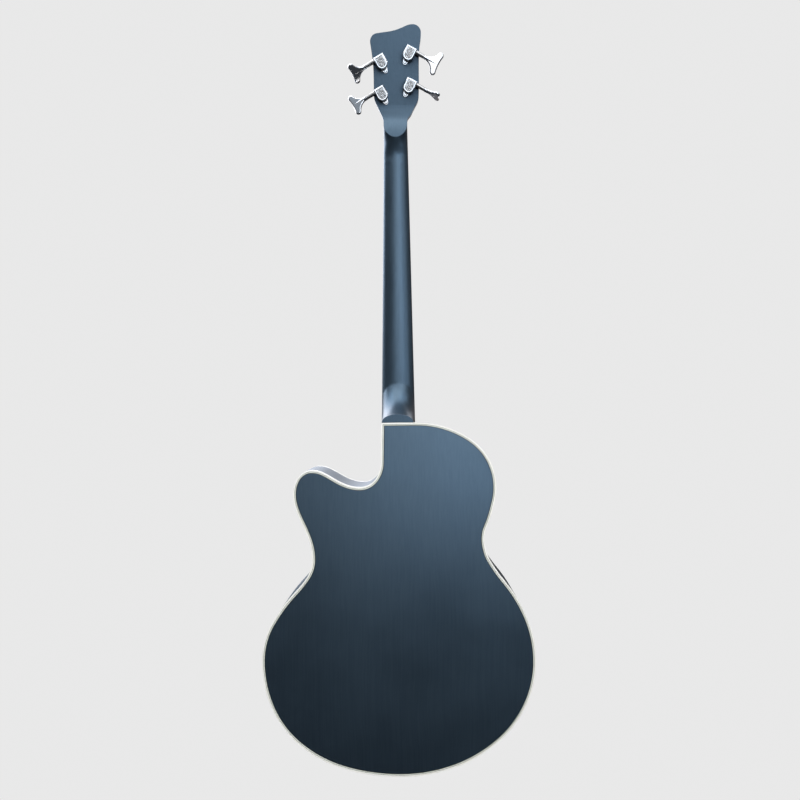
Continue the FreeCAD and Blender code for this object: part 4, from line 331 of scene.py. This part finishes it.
def wound_string(name, bright, groove, wrap_pitch):
    """Round wire wrapped closely along Z: bright crowns and dull grooves."""
    made, tree, shader = new_finish(name, Metallic=1.0)
    where = place(tree, "ShaderNodeSeparateXYZ", {0: object_place(tree)})
    turn = calc(tree, "MULTIPLY", where.outputs["Z"], 2 * math.pi / wrap_pitch)
    crown = calc(tree, "MULTIPLY_ADD", calc(tree, "SINE", turn), 0.5, 0.5)
    marks = use(tree, HANDLING, cloud_size=30.0)
    tarnish = calc(tree, "MULTIPLY", marks["Cloud"], 0.5)
    tone = blend_colours(tree, crown, groove, bright)
    tone = blend_colours(tree, tarnish, tone, groove)
    feed(tree, shader.inputs["Base Color"], tone)
    feed(tree, shader.inputs["Roughness"], calc(tree, "MULTIPLY_ADD", marks["Cloud"], 0.15, 0.24))
    bumped(tree, shader, crown, 0.15 * wrap_pitch)
    return made


def pearl(name):
    """Shell dots: drifting pale green, rose and silver layers under a clear polish."""
    made, tree, shader = new_finish(name, Metallic=0.25, Coat_Weight=0.6)
    where = object_place(tree)
    drift = noise(tree, where, 240.0, 4.0, 0.6)
    layers = noise(tree, where, 700.0, 3.0)
    tone = blend_colours(tree, between(tree, drift, 0.35, 0.65), (0.72, 0.8, 0.74, 1), (0.85, 0.72, 0.76, 1))
    tone = blend_colours(tree, between(tree, layers, 0.4, 0.7), tone, (0.9, 0.9, 0.88, 1))
    feed(tree, shader.inputs["Base Color"], tone)
    feed(tree, shader.inputs["Roughness"], calc(tree, "MULTIPLY_ADD", layers, 0.2, 0.15))
    bumped(tree, shader, drift, 0.01 * MM)
    return made


# Darker and lighter tone of the lacquered wood, and the tone of its rims, lightened partly as rubbed wear and
# partly as a painted edge highlight
DARK_LACQUER = ((0.070, 0.108, 0.146, 1), (0.086, 0.130, 0.172, 1), (0.16, 0.21, 0.26, 1))

FINISHES = {
    "body_lacquer": lacquer("body lacquer", *DARK_LACQUER),
    "neck_lacquer": lacquer("neck lacquer", *DARK_LACQUER, grain_size=(520.0, 5.0), heel=True),
    "top_lacquer": lacquer("soundboard lacquer", *DARK_LACQUER, grain_size=(900.0, 2.0)),
    "face_veneer": lacquer("headstock face lacquer", *DARK_LACQUER, grain_size=(600.0, 9.0),
                           roughness=0.25),
    "binding": polished_plastic("cream binding", (0.95, 0.945, 0.90, 1), (0.92, 0.905, 0.83, 1), 0.3, 25.0),
    "ivory_line": polished_plastic("ivory line", (0.76, 0.80, 0.72, 1), (0.66, 0.70, 0.61, 1), 0.4, 40.0),
    "black_line": polished_plastic("black line", (0.012, 0.012, 0.014, 1), (0.02, 0.02, 0.022, 1),
                                   0.35, 40.0),
    "rosette_inlay": pearl("rosette shell"),
    "bare_wood": plain_wood("mahogany blocks and linings", (0.19, 0.08, 0.04, 1), (0.34, 0.17, 0.09, 1),
                            260.0, 6.0),
    "brace_wood": plain_wood("spruce braces", (0.52, 0.36, 0.19, 1), (0.7, 0.54, 0.33, 1), 800.0, 3.0),
    "dark_wood": plain_wood("rosewood board and bridge", (0.022, 0.012, 0.008, 1), (0.075, 0.036, 0.02, 1),
                            420.0, 8.0, roughness=0.5, pore=0.8, relief=0.08),
    "fret_metal": plated("fret wire", (0.78, 0.77, 0.73, 1), (0.6, 0.59, 0.55, 1), 0.18),
    "pearl_dot": pearl("pearl dots"),
    "bone": polished_plastic("bone", (0.86, 0.82, 0.7, 1), (0.78, 0.71, 0.55, 1), 0.35, 90.0),
    "pin_plastic": polished_plastic("black plastic", (0.015, 0.015, 0.016, 1), (0.03, 0.03, 0.032, 1),
                                    0.25, 90.0),
    "wound_string": wound_string("bronze wound string", (0.62, 0.42, 0.22, 1), (0.2, 0.12, 0.06, 1),
                                 0.0009),
    "brass": plated("brass", (0.72, 0.53, 0.24, 1), (0.5, 0.35, 0.15, 1), 0.25),
    "rod_steel": plated("rod steel", (0.42, 0.42, 0.43, 1), (0.25, 0.24, 0.23, 1), 0.35),
    "pickup": plated("pickup strip", (0.6, 0.5, 0.3, 1), (0.4, 0.34, 0.22, 1), 0.4),
    "tuner_chrome": plated("tuner chrome", (0.86, 0.87, 0.88, 1), (0.66, 0.66, 0.65, 1), 0.09),
    "key_chrome": plated("key chrome", (0.87, 0.88, 0.89, 1), (0.7, 0.7, 0.69, 1), 0.07),
    "worm_steel": plated("worm steel", (0.56, 0.55, 0.53, 1), (0.35, 0.34, 0.32, 1), 0.3),
}


def finish_nodes():
    """Every solid takes the finish of its record slot."""
    for row in frame["record"]["subparts"]:
        solid = frame["nodes"][row["node"]]
        for held in solid.material_slots:
            held.material = FINISHES[row["material_slot"]]


finish_nodes()


# Engraved faces of the tuner housings, in millimetres and degrees

# Each post's place on the headstock and the side its key points to
POST_PLACES = {
    "e": (24.6, 55.2, 1),
    "a": (24.6, 107.2, 1),
    "d": (-22.3, 94.2, -1),
    "g": (-22.3, 43.2, -1),
}
# Turn of the headstock's own coordinates into the frame, and their rise along Z
HEAD_TURN = 102.0
NUT_LENGTH = 5.0
# Slant of each tuner on the headstock
TUNER_SLANT = 29.0
# The sunk face: its height over the headstock's face, and the reach of its edges from the post
FACE_HEIGHT = 24.0
FACE_OUTER = 6.7
FACE_INNER = 6.1
FACE_TOP = 9.6
FACE_NOSE = 1.6
FACE_ROOT = 0.08
FACE_LIFT = 0.02
# Share of the reach over which the curls fade out at the edge
FACE_BORDER = 0.1
CURL_RISE = 0.3
# Middle of each curl and the way it winds
CURLS = ((0.1, 6.4, 1), (-3.3, 3.2, -1), (3.5, 2.6, 1), (0.2, -0.4, -1), (-3.0, -4.2, 1), (3.1, -4.4, -1))
CURL_SPREAD = 2.3
CURL_PITCH = 1.9
CURL_ARMS = 2
CURL_STEEPNESS = 2.4
RINGS = 40
SPOKES = 120


def turned(points, degrees, first, second):
    """Points turned in the plane of two of their axes, by p' = (a cos t - b sin t, a sin t + b cos t)."""
    angle = math.radians(degrees)
    made = points.copy()
    made[:, first] = points[:, first] * math.cos(angle) - points[:, second] * math.sin(angle)
    made[:, second] = points[:, first] * math.sin(angle) + points[:, second] * math.cos(angle)
    return made


def face_reach(around, side):
    """Distance from the post to the face's edge: straight sides and top, and below them a circle.

    With c and s the cosine and sine of the bearing and n the nose, the sides lie at x / |c|, the
    top at top / s, and the circle of radius r at sqrt(r r - n n c c) - n s.
    """
    cosine, sine = np.cos(around), np.sin(around)
    half = np.where(cosine * side > 0, FACE_OUTER, FACE_INNER)
    sides = half / np.maximum(np.abs(cosine), 1e-6)
    top = np.where(sine > 0, FACE_TOP / np.maximum(sine, 1e-6), 1e6)
    circle = np.sqrt(FACE_OUTER ** 2 - (FACE_NOSE * cosine) ** 2) - FACE_NOSE * sine
    straight = np.minimum(sides, top)
    return np.where(straight * sine < -FACE_NOSE, np.minimum(circle, sides), straight)


def curl_crown(across, up, share):
    """Height of the curls from 0 to 1: (1 + tanh(steepness w)) / 2, fading out at the edge.

    w is the sum over the curls of exp(-(r / spread)^2) cos(2 pi r / pitch - arms way bearing), where
    r and bearing are taken from the curl's own middle.
    """
    wave = np.zeros_like(across)
    for middle_x, middle_y, way in CURLS:
        x, y = across - middle_x, up - middle_y
        reach = np.hypot(x, y)
        phase = 2 * math.pi * reach / CURL_PITCH - CURL_ARMS * way * np.arctan2(y, x)
        wave += np.exp(-(reach / CURL_SPREAD) ** 2) * np.cos(phase)
    border = np.clip((1 - share) / FACE_BORDER, 0, 1)
    return (0.5 + 0.5 * np.tanh(CURL_STEEPNESS * wave)) * border * border * (3 - 2 * border)


def engraved_face(name, material):
    """The raised curls on one housing's sunk face, a closed plate with its foot in the casting."""
    x, height, side = POST_PLACES[name]
    around = np.linspace(0, 2 * math.pi, SPOKES, endpoint=False)
    share = np.linspace(0, 1, RINGS + 1)[1:]
    reach = share[:, None] * face_reach(around, side)[None, :]
    across = np.concatenate([[0.0], (reach * np.cos(around)).ravel()])
    up = np.concatenate([[0.0], (reach * np.sin(around)).ravel()])
    crown = curl_crown(across * side, up, np.concatenate([[0.0], np.repeat(share, SPOKES)]))
    top = np.stack([across, up, FACE_HEIGHT + FACE_LIFT + CURL_RISE * crown], 1)
    foot = top[-SPOKES:].copy()
    foot[:, 2] = FACE_HEIGHT - FACE_ROOT
    points = np.concatenate([top, foot, [[0.0, 0.0, FACE_HEIGHT - FACE_ROOT]]])
    points = turned(points, -TUNER_SLANT * side, 0, 1) + (x, height, 0)
    points = (turned(points, HEAD_TURN, 1, 2) + (0, 0, NUT_LENGTH)) * MM

    spoke = np.arange(SPOKES)
    after = (spoke + 1) % SPOKES
    middle = np.stack([np.zeros(SPOKES, int), 1 + spoke, 1 + after], 1)
    ring = 1 + np.arange(RINGS)[:, None] * SPOKES
    near, far = ring + spoke, ring + after
    # The last ring's quads are the skirt down to the foot
    quads = np.stack([near, near + SPOKES, far + SPOKES, far], 2).reshape(-1, 4)
    last = len(points) - 1
    below = np.stack([np.full(SPOKES, last), last - SPOKES + after, last - SPOKES + spoke], 1)
    mesh = bpy.data.meshes.new("engraved_face_" + name)
    mesh.from_pydata(points.tolist(), [], middle.tolist() + quads.tolist() + below.tolist())
    mesh.polygons.foreach_set("use_smooth", np.ones(len(mesh.polygons), bool))
    level = mesh.attributes.new("crown", "FLOAT", "POINT")
    level.data.foreach_set("value", np.concatenate([crown, np.zeros(SPOKES + 1)]))
    mesh.materials.append(material)
    piece = bpy.data.objects.new("engraved_face_" + name, mesh)
    bpy.context.scene.collection.objects.link(piece)
    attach(piece, "guitar")


ENGRAVED = engraved_chrome("engraved chrome", (0.80, 0.81, 0.82, 1), (0.56, 0.56, 0.54, 1))
for tuner in POST_PLACES:
    engraved_face(tuner, ENGRAVED)


# Room, floor and camera

FLOOR_Z = -1.35
FLOOR_RADIUS = 7.0
FLOOR_SIDES = 96
FLOOR_TONE = (0.02, 0.022, 0.025, 1)
BACKDROP = (0.812, 0.812, 0.812, 1)
# What the lacquer mirrors from the viewer's side of the room: elevation in degrees and strength
ROOM_LIGHT = ((-90, 0.01), (-34, 0.01), (-27, 0.23), (-19, 1.05), (-11, 1.28), (-4, 1.45), (2, 1.95),
              (9, 2.45), (18, 2.35), (40, 2.35), (90, 2.35))
ROOM_TINT = (0.97, 1.0, 1.09)
# The bright part of the room lies ahead of the guitar's back: its bearing and reach in degrees
BRIGHT_BEARING = 13.0
BRIGHT_REACH = 48.0
# How much faster the bright part falls off to the left, and what is left of it far to either side
LEFT_FALL = 1.6
DIM_SHARE = 0.10
# Upward direction from which the room is bright all round
OVERHEAD_START = 0.55
OVERHEAD_FULL = 0.85
# Furniture and windows: how coarse they are, and their dimmest and brightest strength
CLUTTER_SCALE = 3.4
CLUTTER_DIM = 0.2
CLUTTER_BRIGHT = 1.5
COOL_TINT = (0.9, 1.0, 1.06, 1)
WARM_TINT = (1.06, 1.0, 0.92, 1)
WARMTH_SCALE = 2.6
WARMTH_SHIFT = (3.0, 5.0, 2.0)
# Walls behind the guitar: dark on the right, and on the left dark below and pale above
RIGHT_WALL = (0.07, 0.06, 0.055, 1)
LEFT_WALL_LOW = (0.05, 0.052, 0.06, 1)
LEFT_WALL_HIGH = (1.5, 1.5, 1.6, 1)
# Soft fill from below and from above
FILL_BELOW = 0.75
FILL_ABOVE = 1.6
SOFTBOX_PLACE = (-0.35, -1.5, 1.9)
SOFTBOX_AIM = (0, 0, -0.2)
SOFTBOX_WIDTH = 1.4
SOFTBOX_HEIGHT = 0.9
SOFTBOX_POWER = 8.0


def make_floor():
    """A pale disc far below the guitar, clear from beneath."""
    around = np.linspace(0, 2 * math.pi, FLOOR_SIDES, endpoint=False)
    level = np.full(FLOOR_SIDES, FLOOR_Z)
    rim = np.stack([FLOOR_RADIUS * np.cos(around), FLOOR_RADIUS * np.sin(around), level], 1)
    mesh = bpy.data.meshes.new("floor")
    mesh.from_pydata(rim.tolist(), [], [list(range(FLOOR_SIDES))])
    floor = bpy.data.objects.new("floor", mesh)
    bpy.context.scene.collection.objects.link(floor)
    made = bpy.data.materials.new("pale floor")
    made.use_nodes = True
    tree = made.node_tree
    tree.nodes.clear()
    seen = place(tree, "ShaderNodeEmission", {"Color": BACKDROP})
    lit = place(tree, "ShaderNodeBsdfDiffuse", {"Color": FLOOR_TONE})
    clear = place(tree, "ShaderNodeBsdfTransparent")
    path = place(tree, "ShaderNodeLightPath")
    back = place(tree, "ShaderNodeNewGeometry").outputs["Backfacing"]
    top = place(tree, "ShaderNodeMixShader", {0: path.outputs["Is Camera Ray"], 1: lit.outputs[0],
                                              2: seen.outputs[0]})
    both = place(tree, "ShaderNodeMixShader", {0: back, 1: top.outputs[0], 2: clear.outputs[0]})
    result = place(tree, "ShaderNodeOutputMaterial")
    feed(tree, result.inputs["Surface"], both.outputs[0])
    mesh.materials.append(made)


def make_room():
    """A plain pale backdrop; the room that the finishes mirror is bright above and dark below."""
    world = bpy.data.worlds.new("soft room")
    world.use_nodes = True
    bpy.context.scene.world = world
    tree = world.node_tree
    tree.nodes.clear()
    direction = place(tree, "ShaderNodeTexCoord").outputs["Generated"]
    toward = place(tree, "ShaderNodeSeparateXYZ", {0: direction})
    height = calc(tree, "ARCSINE", toward.outputs["Z"])
    share = calc(tree, "MULTIPLY_ADD", height, 1 / math.pi, 0.5)
    ramp = place(tree, "ShaderNodeValToRGB", {0: share})
    steps = ramp.color_ramp.elements
    strongest = ROOM_LIGHT[-1][1]
    while len(steps) < len(ROOM_LIGHT):
        steps.new(0.5)
    for step, (elevation, strength) in zip(steps, ROOM_LIGHT):
        step.position = elevation / 180 + 0.5
        tone = strength / strongest
        step.color = [tone * tint for tint in ROOM_TINT] + [1]
    bearing = calc(tree, "ARCTAN2", toward.outputs["X"], calc(tree, "MULTIPLY", toward.outputs["Y"], -1.0))
    off_axis = calc(tree, "SUBTRACT", bearing, math.radians(BRIGHT_BEARING))
    aside = calc(tree, "MAXIMUM", off_axis, calc(tree, "MULTIPLY", off_axis, -LEFT_FALL))
    ahead = between(tree, aside, 0.0, math.radians(BRIGHT_REACH), 1.0, DIM_SHARE)
    overhead = between(tree, toward.outputs["Z"], OVERHEAD_START, OVERHEAD_FULL)
    ahead = calc(tree, "MAXIMUM", ahead, overhead)
    room = vector_calc(tree, "SCALE", ramp.outputs["Color"], (0, 0, 0))
    blocks = noise(tree, direction, CLUTTER_SCALE, 3.0, 0.6)
    clutter = between(tree, blocks, 0.38, 0.6, CLUTTER_DIM, CLUTTER_BRIGHT)
    feed(tree, room.node.inputs["Scale"], calc(tree, "MULTIPLY", ahead, clutter))
    shifted = vector_calc(tree, "ADD", direction, WARMTH_SHIFT)
    warmth = between(tree, noise(tree, shifted, WARMTH_SCALE, 2.0), 0.4, 0.6)
    tint = blend_colours(tree, warmth, COOL_TINT, WARM_TINT)
    room = vector_calc(tree, "MULTIPLY", room, tint)
    behind = between(tree, toward.outputs["Y"], -0.1, 0.3)
    left = between(tree, toward.outputs["X"], 0.5, -0.5)
    raised = between(tree, toward.outputs["Z"], 0.06, 0.24)
    left_wall = blend_colours(tree, raised, LEFT_WALL_LOW, LEFT_WALL_HIGH)
    wall = blend_colours(tree, left, RIGHT_WALL, left_wall)
    around = blend_colours(tree, behind, room, wall)
    path = place(tree, "ShaderNodeLightPath")
    mirrored = place(tree, "ShaderNodeBackground", {"Color": around, "Strength": strongest})
    fill = between(tree, toward.outputs["Z"], -0.8, 0.8, FILL_BELOW, FILL_ABOVE)
    soft = place(tree, "ShaderNodeBackground", {"Color": (1, 1, 1, 1), "Strength": fill})
    seen = place(tree, "ShaderNodeBackground", {"Color": BACKDROP, "Strength": 1.0})
    lit = place(tree, "ShaderNodeMixShader", {0: path.outputs["Is Diffuse Ray"], 1: mirrored.outputs[0],
                                              2: soft.outputs[0]})
    both = place(tree, "ShaderNodeMixShader", {0: path.outputs["Is Camera Ray"], 1: lit.outputs[0],
                                               2: seen.outputs[0]})
    feed(tree, place(tree, "ShaderNodeOutputWorld").inputs["Surface"], both.outputs[0])


def soft_light(name, spot, aim, width, height, power):
    """A rectangular area light that looks from its spot to its aim."""
    data = bpy.data.lights.new(name, "AREA")
    data.shape = "RECTANGLE"
    data.size = width
    data.size_y = height
    data.energy = power
    light = bpy.data.objects.new(name, data)
    light.location = spot
    light.rotation_euler = (Vector(aim) - Vector(spot)).to_track_quat("-Z", "Y").to_euler()
    bpy.context.scene.collection.objects.link(light)


# The camera's place, and its three axes in the frame
CAMERA_PLACE = (0.021711, -1.2470, -0.513854)
CAMERA_RIGHT = (0.99983033, 0.01534612, -0.01018871)
CAMERA_DOWN = (-0.01057209, 0.02511183, -0.99962874)
CAMERA_AHEAD = (-0.01508457, 0.99956685, 0.02526981)
CAMERA_LENS = 32.2417
CAMERA_FILM = 36.0


def make_camera():
    """The viewer's camera, level with the upper body."""
    data = bpy.data.cameras.new("viewer")
    data.lens = CAMERA_LENS
    data.sensor_width = CAMERA_FILM
    camera = bpy.data.objects.new("viewer", data)
    up = [-part for part in CAMERA_DOWN]
    back = [-part for part in CAMERA_AHEAD]
    turn = Matrix([CAMERA_RIGHT, up, back]).transposed()
    camera.matrix_world = Matrix.Translation(CAMERA_PLACE) @ turn.to_4x4()
    bpy.context.scene.collection.objects.link(camera)
    bpy.context.scene.camera = camera


make_floor()
make_room()
soft_light("overhead softbox", SOFTBOX_PLACE, SOFTBOX_AIM, SOFTBOX_WIDTH, SOFTBOX_HEIGHT, SOFTBOX_POWER)
make_camera()
bpy.context.scene.view_settings.view_transform = "Standard"
